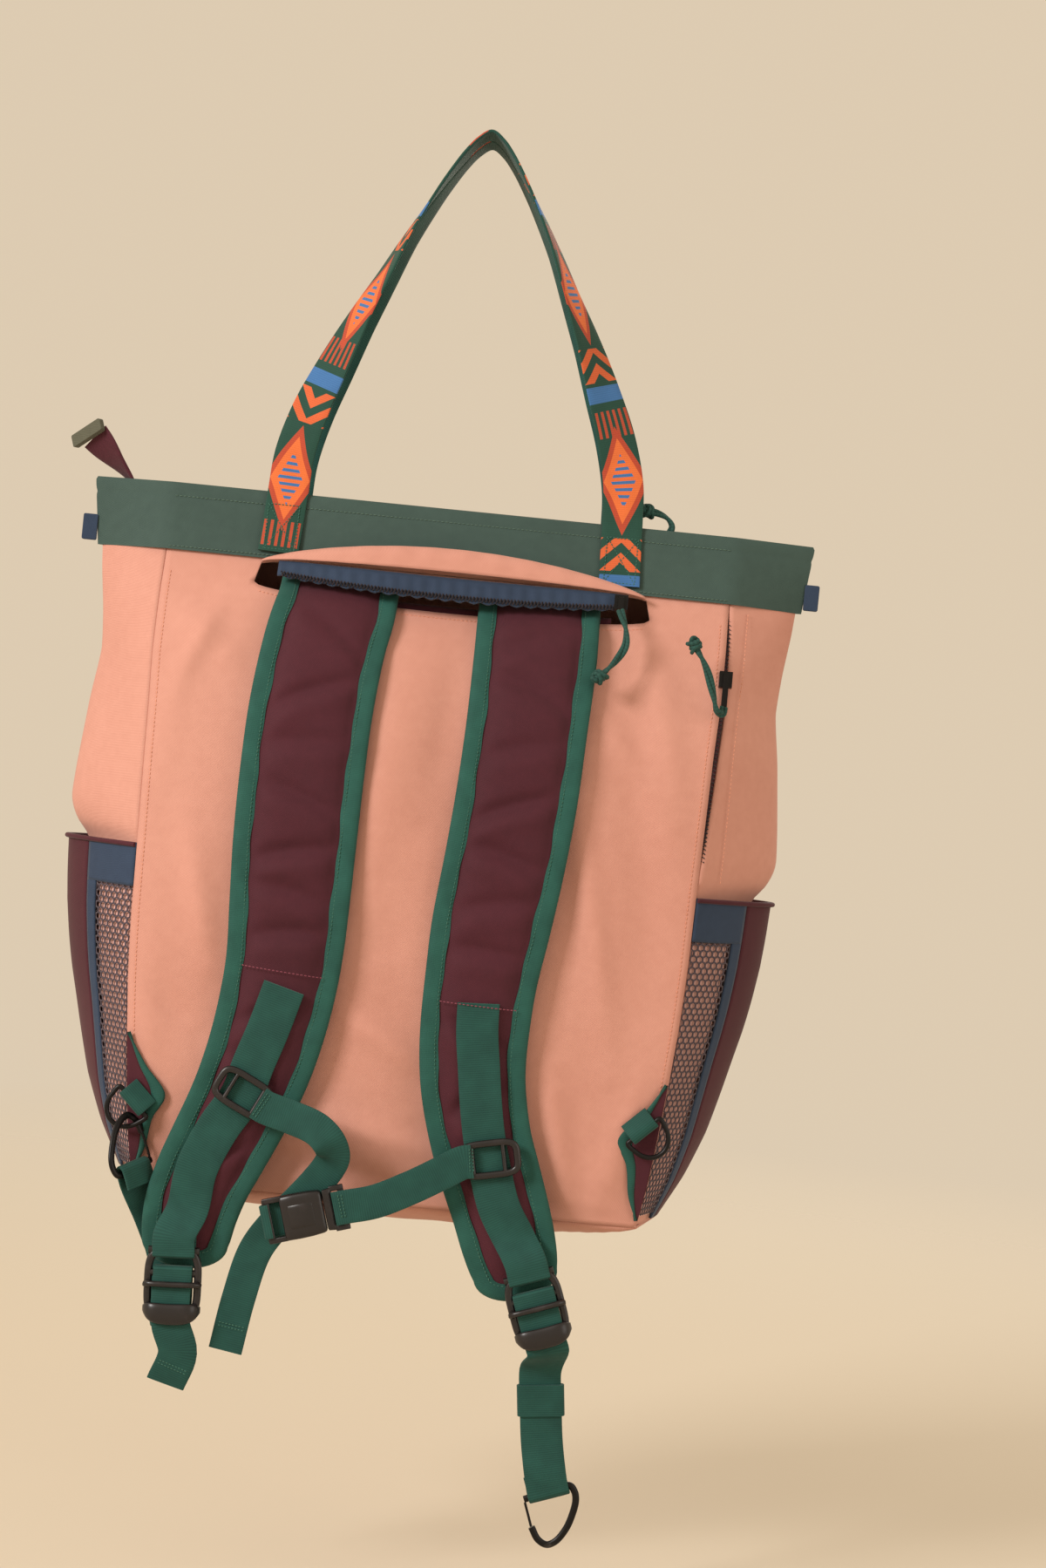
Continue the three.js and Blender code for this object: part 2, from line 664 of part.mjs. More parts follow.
const slitZipPoint = (u, v, inset = 0) => {
  const p = slitLine(u, flapRoot + flapReach - panelCloth - touch * 4 - inset, -0.8);
  const share = slitShare(flapX(u)) ** 0.3;
  return V(p.x, p.y - v * tapeSlope * share, p.z - v * slitTape * share);
};
function slitZip() {
  const at = (inset) => (u, v) => slitZipPoint(u, v, inset);
  return sheet(at(0), at(stripCloth), steps(10, -0.88, 0.88), [0, 1]);
}
function slitFacing() {
  const at = (inset) => (u, v) => {
    const x = flapX(u);
    const down = (slitBelow(x) + facingWidth * (v - 0.34)) / bodyHeight;
    return panelPoint(-1, down, x / halfPanel, panelCloth + touch * 2.6 + inset);
  };
  return sheet(at(0), at(stripCloth), steps(8, -0.8, 0.8), [0, 1]);
}

// Side zip: a tape behind the gap in the right seam
function sideZip() {
  const at = (inset) => (u, v) => {
    const down = (sideZipStart + sideZipLength * v) / bodyHeight;
    const r = ring(down, panelCloth + touch * 2 + inset);
    const half = sideZipTape / 2;
    const onPanel = V(r.panel - half, -r.depth, r.z);
    const onSeam = V(r.panel, -r.depth, r.z);
    const out = gussetPoint(1, down, -1 + half / halfDepth, panelCloth + touch * 2 + inset);
    return [onPanel, onSeam, out][u];
  };
  return sheet(at(0), at(stripCloth), [0, 1, 2], steps(6));
}

// Side pockets
const pocketFoot = 0.992;
const pocketSplit = -0.6;
const elasticSplit = -0.49;
function sidePocket(side) {
  const face = (inset) => (u, v) => pocketPoint(side, v, u, inset);
  const us = [elasticSplit + 0.01, -0.2, 0, 0.25, 0.5, 0.8, 0.99];
  return sheet(face(0), face(pocketCloth), us, levelsBetween(pocketMouth, pocketFoot));
}
const elasticDown = elasticHeight / bodyHeight;
function pocketElastic(side) {
  const face = (inset) => (u, v) => pocketPoint(side, v, u, inset);
  const us = [-0.995, pocketSplit, elasticSplit];
  const vs = [pocketMouth, ...levelsBetween(pocketMouth + elasticDown, pocketFoot)];
  const open = (i, j) => i === 0 && j > 0;
  return sheet(face(0), face(pocketCloth), us, vs, { open });
}
function barsAndGaps(count, from, to, bar) {
  const pitch = (to - from - bar) / count;
  const edges = [];
  for (let i = 0; i <= count; i++) edges.push(from + i * pitch, from + i * pitch + bar);
  return edges;
}
function pocketMesh(side) {
  const girth = Math.hypot(halfFold - halfPanel, halfDepth);
  const gap = seamGap / girth;
  const us = barsAndGaps(meshColumns, -0.99, pocketSplit - gap * 2, meshStrand / girth);
  const vs = barsAndGaps(meshRows, pocketMouth + elasticDown + seamGap / bodyHeight, 0.985, meshStrand / bodyHeight);
  const face = (inset) => (u, v) => pocketPoint(side, v, u, inset);
  const open = (i, j) => i % 2 === 1 && j % 2 === 1;
  return sheet(face(0.2), face(pocketCloth - 0.4), us, vs, { open });
}

// Shoulder pads. The path leaves the slit and then lies on the back panel
const padEndShare = 0.965;
const padTop = -(gripDrop + 33);
const padZ = (share) => padTop - share * padLength;
function padY(z) {
  const down = Math.min(downOf(z), 0.88);
  const r = ring(down);
  const lying = -(r.depth + r.bulge) - padStand - padThick / 2;
  const tucked = -(halfDepth * column(bodyRows, 'depth', downOf(padTop)) - panelCloth * 2 - padTuck - 2);
  const through = THREE.MathUtils.smoothstep(padTop - z, 3.4, 29.4);
  return mix(tucked, lying, through);
}
const padRound = (share) => Math.sqrt(1 - (Math.max(0, share - padEndShare) / (1 - padEndShare)) ** 2);
function padStations(rows, shares) {
  const points = steps(24).map((share) => {
    const z = padZ(share);
    return V(column(rows, 'across', share) * halfPanel, padY(z), z);
  });
  const curve = new THREE.CatmullRomCurve3(points, false, 'centripetal');
  return shares.map((share) => {
    const onCurve = Math.min(share, padEndShare);
    const along = curve.getTangent(onCurve);
    const at = curve.getPoint(onCurve).addScaledVector(along, (share - onCurve) * padLength);
    const side = along.clone().cross(V(0, -1, 0)).normalize();
    return {
      at, along, side, up: side.clone().cross(along).normalize(),
      half: column(rows, 'wide', share) * padWidth / 2 * padRound(share),
      thick: column(rows, 'thick', share) * padThick / 2,
    };
  });
}
const padShares = [0.03, 0.05, 0.075, 0.11, 0.16, ...steps(10, 0.225, padEndShare)];
function shoulderPad(rows) {
  const shares = [0, ...padShares, 0.976, 0.986];
  const stations = padStations(rows, shares);
  const section = (i) => {
    const { half, thick: full } = stations[i];
    const core = 1 - THREE.MathUtils.smoothstep(shares[i], 0.94, 0.986);
    const rim = padRim / 2;
    const thick = mix(rim, full, core);
    const tip = half - bindingCloth - touch - (1 - core) * 1.5;
    const root = (half - bindingWidth - touch) * mix(0.3, 1, core);
    const shoulder = root * 0.8;
    return [
      [-tip, -rim], [-root, -rim], [-shoulder, -thick * 0.85], [0, -thick],
      [shoulder, -thick * 0.85], [root, -rim], [tip, -rim],
      [tip, rim], [root, rim], [shoulder, thick * 0.85], [0, thick], [-shoulder, thick * 0.85], [-root, rim], [-tip, rim],
    ];
  };
  return sweep(stations, section);
}

// The binding: a folded tape round the pad's edge, down one side, round the end and up the other
function padBinding(rows) {
  const stations = padStations(rows, padShares);
  const end = stations[stations.length - 1];
  const down = stations.map((s) => ({ at: s.at.clone().addScaledVector(s.side, s.half), side: s.side.clone().negate(), up: s.up }));
  const up = stations.map((s) => ({ at: s.at.clone().addScaledVector(s.side, -s.half), side: s.side.clone(), up: s.up.clone() })).reverse();
  const bend = [30, 60, 90, 120, 150].map((angle) => {
    const c = Math.cos(angle * TURN);
    const s = Math.sin(angle * TURN);
    const out = end.side.clone().multiplyScalar(c).addScaledVector(end.along, s);
    const at = end.at.clone().addScaledVector(end.side, c * end.half).addScaledVector(end.along, s * (1 - padEndShare) * padLength);
    return { at, side: out.negate(), up: end.up };
  });
  const stops = [...down, ...bend, ...up];
  const out = padRim / 2 + touch + bindingCloth;
  const slot = padRim / 2 + touch;
  const section = [
    [0, -out], [bindingWidth, -out], [bindingWidth, -slot], [bindingCloth, -slot],
    [bindingCloth, slot], [bindingWidth, slot], [bindingWidth, out], [0, out],
  ];
  return sweep(stops, section);
}

// Webbing sewn along the lower pad and looped round the lock's top bar
const frontOf = (z) => padY(z) - padThick / 2 - touch * 1.5 - webbingThick / 2;
const strapPoint = (row) => {
  const { x, z } = onStrapSide(row);
  return V(x, frontOf(z), z);
};

// Places on the strap side: share of the pad's length, and place across as a share of the half panel
const leftStrapRows = [
  { down: 0.6055, across: -0.412 }, { down: 0.665, across: -0.453 }, { down: 0.7156, across: -0.494 },
  { down: 0.757, across: -0.5235 }, { down: 0.805, across: -0.594 }, { down: 0.8624, across: -0.653 },
  { down: 0.9174, across: -0.6706 },
];
const rightStrapRows = [
  { down: 0.601, across: 0.2647 }, { down: 0.642, across: 0.2706 }, { down: 0.688, across: 0.288 },
  { down: 0.734, across: 0.306 }, { down: 0.78, across: 0.3294 }, { down: 0.821, across: 0.359 },
  { down: 0.874, across: 0.406 }, { down: 0.915, across: 0.4706 },
];
const onStrapSide = ({ down, across, turn }) => ({ x: across * halfPanel, z: padZ(down), turn });
const leftLock = onStrapSide({ down: 1.0183, across: -0.694, turn: 3 });
const rightLock = onStrapSide({ down: 1.0023, across: 0.5706, turn: 20 });
const leftSlider = onStrapSide({ down: 0.7523, across: -0.5176, turn: -26 });
const rightSlider = onStrapSide({ down: 0.8085, across: 0.359, turn: 12 });

// A point set off from a place: to the right, towards the bag, and up
const offsetFrom = (place) => (right, inwards, up) => V(place.x + right, place.y + inwards, place.z + up);

const lockSeat = 0.96;
const lockStand = 3.5;
function lockFrame(lock) {
  const y = frontOf(padZ(lockSeat)) - lockStand;
  const turn = lock.turn * TURN;
  const down = V(Math.sin(turn), 0, -Math.cos(turn));
  const across = V(Math.cos(turn), 0, Math.sin(turn));
  const at = (a, b, depth = 0) => V(lock.x, y + depth, lock.z).addScaledVector(across, a).addScaledVector(down, b);
  return { down, across, at, y };
}
const topBarAt = -(lockHeight / 2 - lockBar / 2);
const loopClear = lockThick / 2 + webbingThick / 2 + touch;

function strapWebbing(rows, lock) {
  const frame = lockFrame(lock);
  const lying = { points: rows.map(strapPoint), side: V(1, 0, 0) };
  const looped = {
    points: [
      frame.at(0, topBarAt - 9, -loopClear),
      ...barLoop(frame, topBarAt, 1),
      frame.at(0, topBarAt - 8, loopClear * 0.95),
    ],
    side: frame.across,
  };
  return sweep(webStations([lying, looped]), boxSection(webbing, webbingThick));
}

// Points that take a strap round a lock's bar, from the front to the back under it (way 1) or over it (-1)
const barTurn = [[0.2, -1], [0.95, -0.92], [1.08, 0], [0.95, 0.92], [0.2, 1]];
function barLoop(frame, barAt, way) {
  const under = lockBar / 2 + webbingThick / 2 + touch;
  return barTurn.map(([down, deep]) => frame.at(0, barAt + way * under * down, loopClear * deep));
}

// Stations of a strap along runs of points. Each run gives the way that the strap's width points
function webStations(runs, perSpan = 1) {
  const points = runs.flatMap((run) => run.points);
  const sides = runs.flatMap((run) => run.points.map(() => run.side));
  const curve = new THREE.CatmullRomCurve3(points, false, 'centripetal');
  const spans = points.length - 1;
  return steps(spans * perSpan).map((t) => {
    const along = curve.getTangent(t);
    const k = Math.min(Math.floor(t * spans), spans - 1);
    const side = sides[k].clone().lerp(sides[k + 1], t * spans - k);
    side.addScaledVector(along, -side.dot(along)).normalize();
    return { at: curve.getPoint(t), along, side, up: side.clone().cross(along).normalize() };
  });
}

// Ladder lock: two rails, three bars, and a lip below
function ladderLock(lock) {
  const half = lockWidth / 2;
  const top = lockHeight / 2;
  const xs = [-half, -half + lockRail, half - lockRail, half];
  const slot = lockSlot;
  const zs = [
    top, top - lockBar, top - lockBar - slot, top - 2 * lockBar - slot,
    top - 2 * lockBar - 2 * slot, -top,
  ];
  const plate = slottedPlate(lockWidth, lockThick, xs, zs, (i, j) => i === 1 && (j === 1 || j === 3));
  const frame = lockFrame(lock);
  plate.rotateY(-lock.turn * TURN);
  plate.translate(lock.x, frame.y, lock.z);
  return plate;
}

// Corner tabs with the D rings
const tabTop = 0.792;
const tabLow = 0.988;
const tabRows = [
  { down: 0.0, reach: 0.06 }, { down: 0.22, reach: 0.5 }, { down: 0.42, reach: 1.0 }, { down: 0.6, reach: 0.66 },
  { down: 0.82, reach: 0.42 }, { down: 1.0, reach: 0.06 },
];
function tabPoint(side, down, across, inset) {
  const share = (down - tabTop) / (tabLow - tabTop);
  const r = ring(down);
  const reach = tabReach * Math.max(0.05, column(tabRows, 'reach', share));
  const x = r.panel - seamGap * 2 - across * reach;
  const p = panelPoint(-1, down, x / r.panel);
  return V(side * x, p.y - touch * 2 - inset, p.z);
}
const tabShares = [...new Set([...levelsBetween(tabTop, tabLow), ...steps(4, tabTop, tabLow)])].sort((a, b) => a - b);
function cornerTab(side) {
  const at = (inset) => (u, v) => tabPoint(side, v, u * 0.66, inset);
  return sheet(at(stripCloth), at(0), [0, 1], tabShares);
}
function tabBinding(side) {
  const at = (inset) => (u, v) => tabPoint(side, v, mix(0.7, 1.05, u), inset);
  return sheet(at(stripCloth + 0.6), at(0), [0, 1], tabShares);
}
const ringPlaces = [
  { side: -1, down: 0.888, across: 0.2, seat: 1.8 },
  { side: 1, down: 0.858, across: 0.5, seat: 1.1 },
];
const ringStand = 4.8;
const ringTurn = 44;
function ringFrame(side) {
  const place = ringPlaces.find((row) => row.side === side);
  const apex = tabPoint(1, place.down, place.across, stripCloth + ringStand);
  const turn = ringTurn * TURN;
  const bar = V(side * Math.cos(turn), 0, Math.sin(turn));
  const out = V(side * Math.sin(turn), 0, -Math.cos(turn));
  const centre = V(side * apex.x, apex.y - ringWire, apex.z);
  return (a, b, c = 0) => centre.clone().addScaledVector(bar, a).addScaledVector(out, b).add(V(0, c, 0));
}
function ringPoint(side, angle) {
  const half = ringWidth / 2 - ringWire;
  const deep = ringDepth - 2 * ringWire;
  return ringFrame(side)(half * Math.sin(angle * TURN), deep * Math.max(0, Math.cos(angle * TURN)) ** 0.8);
}
function dRing(side) {
  const at = ringFrame(side);
  const half = ringWidth / 2 - ringWire;
  const bow = steps(8, 90, -90).map((angle) => ringPoint(side, angle));
  const points = [at(-half * 0.5, 0), at(half * 0.5, 0), ...bow.map((p) => p)];
  return wire(points, 16, ringWire, 6, { side: V(0, 1, 0), closed: true });
}
function ringLoopPiece(side) {
  const at = ringFrame(side);
  const r = ringWire + touch + stripCloth / 2;
  const { seat } = ringPlaces.find((row) => row.side === side);
  const onTab = ringStand + ringWire - seat - stripCloth / 2;
  const onPly = onTab - stripCloth - touch;
  const points = [[-ringSewn, onTab], [-2, r], [r * 0.75, r * 0.75], [r * 1.05, 0], [r * 0.75, -r * 0.75], [-2, -r], [-ringSewn, onPly]]
    .map(([b, c]) => at(0, b, c));
  return strap(points, 12, ringLoop, stripCloth, { side: at(1, 0).sub(at(0, 0)) });
}

// Hooks: a flat wire carabiner, drawn as a triangle with a round nose, and its wire gate
const hookOutline = [
  { across: -0.49, down: 0.03 }, { across: 0.42, down: -0.02 }, { across: 0.49, down: 0.12 },
  { across: 0.47, down: 0.3 }, { across: 0.3, down: 0.6 }, { across: 0.13, down: 0.8 },
  { across: -0.1, down: 0.96 }, { across: -0.28, down: 0.98 }, { across: -0.42, down: 0.84 },
  { across: -0.48, down: 0.58 },
];
function hookFrame({ turn, yaw }) {
  const down = V(Math.sin(turn * TURN), 0, -Math.cos(turn * TURN));
  const level = V(Math.cos(turn * TURN), 0, Math.sin(turn * TURN));
  const across = level.clone().multiplyScalar(Math.cos(yaw * TURN)).add(V(0, Math.sin(yaw * TURN), 0));
  return { down, across, normal: across.clone().cross(down) };
}
function hookPlace(hook, across, down, out = 0) {
  const frame = hookFrame(hook);
  return hook.at.clone().addScaledVector(frame.across, across * hookWidth * hook.flip)
    .addScaledVector(frame.down, down * hookLength).addScaledVector(frame.normal, out);
}
function hookBody(hook) {
  const points = hookOutline.map((p) => hookPlace(hook, p.across, p.down));
  return wire(points, 18, hookWire, 6, { side: hookFrame(hook).normal });
}
const gateFrom = { across: -0.485, down: 0.095 };
const gateTo = { across: -0.485, down: 0.566 };
function hookGate(hook) {
  const points = [gateFrom, gateTo].map((p) => hookPlace(hook, p.across, p.down));
  return wire(points, 2, gateWire, 6, { side: hookFrame(hook).normal });
}

// The left hook holds the left D ring's wire inside its nose; the right one hangs free
const ringInHook = { across: 0.3, down: 0.77 };
const byRightLock = offsetFrom({ ...rightLock, y: lockFrame(rightLock).y });
const rightHook = { at: byRightLock(18, 20.35, -112), turn: 20, yaw: 0, flip: 1 };
const leftHook = { at: V(0, 0, 0), turn: 203, yaw: 128, flip: -1 };
leftHook.at = ringPoint(-1, -62).sub(hookPlace(leftHook, -ringInHook.across, ringInHook.down));

// A strap's turn round a hook's bar, from the front to the back
const hookClear = hookWire + touch * 1.5 + webbingThick / 2;
const hookTurn = [[-0.06, -1], [0.06, -0.85], [0.115, 0], [0.06, 0.85], [-0.06, 1], [-0.35, 0.9]];
const hookLoop = (hook) => ({
  points: hookTurn.map(([down, out]) => hookPlace(hook, 0, down, out * hookClear)),
  side: hookFrame(hook).across,
});

// Straps below the locks. Each goes over the lock's middle bar and ends round its hook
const midBarAt = topBarAt + lockBar + lockSlot;
const rightEnd = {
  points: [byRightLock(6, 12.35, -39), byRightLock(8, 15.35, -57), byRightLock(11, 17.85, -81), byRightLock(15, 16.85, -101)],
  side: V(1, 0, 0),
};
function lowerWebbingRight() {
  const frame = lockFrame(rightLock);
  const looped = {
    points: [
      frame.at(0, midBarAt + 10, loopClear),
      ...barLoop(frame, midBarAt, -1).reverse(),
      frame.at(0, lockHeight / 4, -loopClear * 1.1),
      frame.at(0, lockHeight / 2, -loopClear * 1.25),
      frame.at(0, lockHeight / 2 + 5, -loopClear * 0.8),
    ],
    side: frame.across,
  };
  const runs = [looped, rightEnd, hookLoop(rightHook)];
  return sweep(webStations(runs), boxSection(webbing, webbingThick));
}
function keeper() {
  const mid = webStations([rightEnd])[1];
  const slack = touch + 0.4;
  const half = webbing / 2 + slack;
  const deep = webbingThick / 2 + slack;
  const corners = [[-1, -1], [1, -1], [1, 1], [-1, 1]];
  const face = (out) => (u, v) => {
    const [a, b] = corners[u];
    return mid.at.clone().addScaledVector(mid.side, a * (half + out)).addScaledVector(mid.up, b * (deep + out))
      .addScaledVector(mid.along, v * keeperHeight / 2);
  };
  return sheet(face(keeperCloth), face(0), [0, 1, 2, 3], [-1, 1], { wrap: true });
}
function lowerWebbingLeft() {
  const frame = lockFrame(leftLock);
  const byLock = offsetFrom({ ...leftLock, y: frame.y });
  const byHook = offsetFrom(leftHook.at);
  const looped = {
    points: [
      byLock(1, 4.35, -60), byLock(7, -0.65, -40), frame.at(0, lockHeight / 2, -loopClear * 1.1),
      ...barLoop(frame, midBarAt, -1),
      frame.at(0, midBarAt + 14, loopClear + 1), frame.at(-1, lockHeight / 2 + 2, loopClear + 5),
      frame.at(-2, lockHeight / 2 + 4, loopClear + 10), frame.at(-4, lockHeight / 2 - 3, loopClear + 15),
    ],
    side: frame.across,
  };
  const rising = { points: [byLock(-5, 19.35, 4), byLock(-10, 19.35, 20)], side: V(1, 0, 0) };
  const turning = { points: [byHook(11.8, 10.36, -26)], side: V(0.85, 0.4, 0.2) };
  const runs = [looped, rising, turning, hookLoop(leftHook)];
  return sweep(webStations(runs), boxSection(webbing * 0.92, webbingThick));
}

// Sternum sliders: a frame with two slots lying on the strap
const sliderSeam = (slider, across) => {
  const turn = slider.turn * TURN;
  const lift = sliderThick / 2 + touch + sternumThick / 2;
  return V(slider.x + across * Math.cos(turn), sliderY(slider) - lift, slider.z + across * Math.sin(turn));
};
const sliderY = (s) => frontOf(s.z) - webbingThick / 2 - touch - sliderThick / 2 - 0.6;
function sternumSlider(s) {
  const half = sliderLength / 2;
  const top = sliderHeight / 2;
  const inner = s.inner;
  const xs = inner > 0
    ? [-half, -half + sliderBar, half - sliderBar * 1.9, half - sliderBar * 1.1, half]
    : [-half, -half + sliderBar * 1.1, -half + sliderBar * 1.9, half - sliderBar, half];
  const plate = slottedPlate(sliderLength, sliderThick, xs, [-top, -top + sliderBar, top - sliderBar, top],
    (i, j) => j === 1 && (i === 1 || i === (inner > 0 ? 1 : 2)));
  return plate.rotateY(-s.turn * TURN).translate(s.x, sliderY(s), s.z);
}

// Buckle of the sternum strap: a hollow socket on the left and a plug with two arms on the right
const buckle = onStrapSide({ down: 0.906, across: -0.2647, turn: 17 });
buckle.y = frontOf(buckle.z) - buckleThick - touch / 2;
const byBuckle = offsetFrom(buckle);
const buckleAt = (geometry) => geometry.rotateY(-buckle.turn * TURN).translate(buckle.x, buckle.y, buckle.z);
function buckleSocket() {
  const outer = placedBox(socketLength, buckleThick, buckleWidth, 0, 0, 0);
  const inner = placedBox(socketLength, buckleThick - 2 * socketWall, buckleWidth - 2 * socketWall, socketEnd, 0, 0);
  const half = socketFrame / 2;
  const bar = slottedPlate(socketFrame, buckleBar, [-half, buckleBar - half, half], buckleRails,
    (i, j) => i === 1 && j === 1).translate(-socketLength / 2 - socketFrame / 3, 0, 0);
  const body = combine(outer, 'subtract', inner);
  return buckleAt(combine(body, 'add', bar));
}
function bucklePlug() {
  const arm = (z) => placedBox(armLength, armThick, armThick, socketLength / 2 - socketEnd, 0, z);
  const half = plugFrame / 2;
  const base = slottedPlate(plugFrame, buckleBar, [-half, 0, half - buckleBar, half], buckleRails,
    (i, j) => i === 1 && j === 1).translate(socketLength / 2 + plugSeat, 0, 0);
  return buckleAt(combine(base, 'add', arm(armSide), arm(-armSide)));
}

// Sternum webbing
const buckleLocal = (a, b, c) => {
  const p = V(a, b, c).applyAxisAngle(V(0, 1, 0), -buckle.turn * TURN);
  return p.add(V(buckle.x, buckle.y, buckle.z));
};
function sternumRight() {
  const plugBar = socketLength / 2 + plugSeat + 5;
  const points = [
    buckleLocal(plugBar - 6, -3.4, 0), buckleLocal(plugBar + 1, -3.4, 0),
    byBuckle(41, -2, 12), byBuckle(61, -1, 22), byBuckle(79, 1.5, 32.5),
    sliderSeam(rightSlider, -sliderLength * 0.45), sliderSeam(rightSlider, -sliderLength * 0.3),
  ];
  return strap(points, 10, sternumWidth, sternumThick, {});
}
function sternumLeft() {
  const points = [
    sliderSeam(leftSlider, sliderLength * 0.3), sliderSeam(leftSlider, sliderLength * 0.45),
    byBuckle(-13, 1, 56), byBuckle(3, -3, 51), byBuckle(11, -4, 44), byBuckle(14, 0, 36),
    byBuckle(12, 4.8, 29), byBuckle(5, 6, 18), byBuckle(-6, 5.7, 4), byBuckle(-17, 6.7, -9),
    byBuckle(-27, 10, -26), byBuckle(-34, 12, -55), byBuckle(-39, 14, -87),
  ];
  return strap(points, 22, sternumWidth, sternumThick, {});
}

// The strap's fold round the socket's bar
function sternumWrap() {
  const bar = -socketLength / 2 - socketFrame / 3 - wrapSeat;
  const clear = buckleBar / 2 + touch + sternumThick / 2;
  const points = [[8, 1.1], [3, 1], [-0.5, 1], [-2.4, 0.7], [-3, 0], [-2.4, -0.7], [-0.5, -1], [1.5, -1]]
    .map(([a, b]) => buckleLocal(bar + a, b * clear, 0));
  const side = V(0, 0, 1).applyAxisAngle(V(0, 1, 0), -buckle.turn * TURN);
  return strap(points, 14, sternumWidth, sternumThick, { side });
}

// Side tabs at the collar's ends
function sideTab(side) {
  const z = bodyZ(0.075);
  const x = halfFold + collarCloth + touch + tabStand;
  return placedBox(tabLength, tabThick, tabHeight, side * (x + tabLength / 2), 0, z);
}

// Zip tail and its cap, standing up from the collar's left end
function zipTail() {
  const z = bodyZ(0);
  const points = tailRows.map(({ out, back, up }) => V(-halfFold - out, -back, z + up));
  const stations = stationsAlong(points, tailSpans, { side: V(0, 1, 0), turns: (t) => -tailTurn * t });
  const wide = (i) => mix(tailRoot, tailWidth, THREE.MathUtils.smoothstep(i / tailSpans, 0.25, 0.9));
  return sweep(stations, (i) => boxSection(wide(i), stripCloth * 1.6));
}
function zipTailCap() {
  const z = bodyZ(0) + tailRise;
  const cap = placedBox(capLength, capThick, capHeight, 0, 0, 0);
  const { out, back, up } = capSeat;
  return cap.rotateY(-capLean * TURN).rotateZ(-capYaw * TURN).translate(-halfFold - out, -back, z + up);
}

// Hand loops
function handle(face) {
  const foot = collarHeight - handleHem;
  const points = [];
  const turns = [];
  const outside = (down) => face * (ring(down).depth + ring(down).bulge + touch * 3 + collarCloth + handleThick / 2);
  const half = handleSpread / 2;
  const place = (side) => {
    const leg = [
      { x: side * (half + handleFlare), y: outside(foot / bodyHeight), z: -gripDrop - foot, turn: 0 },
      { x: side * (half + handleFlare / 2), y: outside(foot / 2 / bodyHeight), z: -gripDrop - foot / 2, turn: 0 },
    ];
    for (const row of handleRows) {
      leg.push({
        x: side * half * row.across,
        y: face * mix(handleSide, Math.abs(outside(0)), row.down ** 3),
        z: -gripDrop * row.down + handleThick / 2, turn: row.turn,
      });
    }
    return leg;
  };
  const left = place(-1);
  const right = place(1).reverse();
  const apex = { x: 0, y: face * handleSide, z: handleThick / 2 + gripRise, turn: 90 };
  const rows = [...left, apex, ...right];
  rows.forEach((row) => {
    points.push(V(row.x, row.y, row.z));
    turns.push(-face * row.turn);
  });
  const curve = new THREE.CatmullRomCurve3(points, false, 'centripetal');
  const count = (points.length - 1) * 2;
  const stations = Array.from({ length: count + 1 }, (_, i) => {
    const t = i / count;
    const along = curve.getTangent(t);
    const base = along.clone().cross(V(0, -1, 0)).normalize();
    const flat = base.clone().cross(along).normalize();
    const k = Math.min(Math.floor(t * (turns.length - 1)), turns.length - 2);
    const angle = mix(turns[k], turns[k + 1], t * (turns.length - 1) - k) * TURN;
    const side = base.clone().multiplyScalar(Math.cos(angle)).addScaledVector(flat, Math.sin(angle));
    return { at: curve.getPoint(t), side, up: side.clone().cross(along).normalize() };
  });
  return sweep(stations, boxSection(handleWidth, handleThick));
}

add('back_panel', backPanel(), 'pink');
add('front_panel', frontPanel(), 'pink');
add('base_panel', basePanel(), 'pink');
add('collar_band', collarBand(), 'collar');
add('closure_strip', closureStrip(), 'burgundy');
add('top_zip', topZip(), 'burgundy');
add('zip_tail', zipTail(), 'burgundy');
add('zip_tail_cap', zipTailCap(), 'olive');
add('slit_flap', slitFlap(), 'pink');
add('slit_zip', slitZip(), 'navy');
add('slit_facing', slitFacing(), 'burgundy');
add('side_zip', sideZip(), 'burgundy');
for (const [name, side] of [['left', -1], ['right', 1]]) {
  add(`gusset_${name}`, gusset(side), 'pink');
  add(`side_tab_${name}`, sideTab(side), 'navy');
  add(`side_pocket_${name}`, sidePocket(side), 'burgundy');
  add(`pocket_mesh_${name}`, pocketMesh(side), 'navy');
  add(`pocket_elastic_${name}`, pocketElastic(side), 'navy');
  add(`corner_tab_${name}`, cornerTab(side), 'burgundy');
  add(`tab_binding_${name}`, tabBinding(side), 'green');
  add(`ring_loop_${name}`, ringLoopPiece(side), 'green');
  add(`d_ring_${name}`, dRing(side), 'metal');
}
for (const [name, rows, strapRows, lock] of [
  ['left', leftPadRows, leftStrapRows, leftLock],
  ['right', rightPadRows, rightStrapRows, rightLock],
]) {
  add(`shoulder_pad_${name}`, shoulderPad(rows), 'burgundy');
  add(`pad_binding_${name}`, padBinding(rows), 'green');
  add(`strap_webbing_${name}`, strapWebbing(strapRows, lock), 'green');
  add(`ladder_lock_${name}`, ladderLock(lock), 'black');
}
add('sternum_slider_left', sternumSlider({ ...leftSlider, inner: 1 }), 'black');
add('sternum_slider_right', sternumSlider({ ...rightSlider, inner: -1 }), 'black');
add('sternum_webbing_left', sternumLeft(), 'green');
add('sternum_wrap', sternumWrap(), 'green');
add('sternum_webbing_right', sternumRight(), 'green');
add('buckle_socket', buckleSocket(), 'black');
add('buckle_plug', bucklePlug(), 'black');
add('lower_webbing_left', lowerWebbingLeft(), 'green');
add('lower_webbing_right', lowerWebbingRight(), 'green');
add('webbing_keeper_right', keeper(), 'green');
add('hook_left', hookBody(leftHook), 'metal');
add('hook_right', hookBody(rightHook), 'metal');
add('hook_gate_left', hookGate(leftHook), 'metal');
add('hook_gate_right', hookGate(rightHook), 'metal');
add('top_zip_slider', topSlider(), 'metal');
add('slit_zip_slider', slitSlider(), 'metal');
add('side_zip_slider', sideSlider(), 'metal');
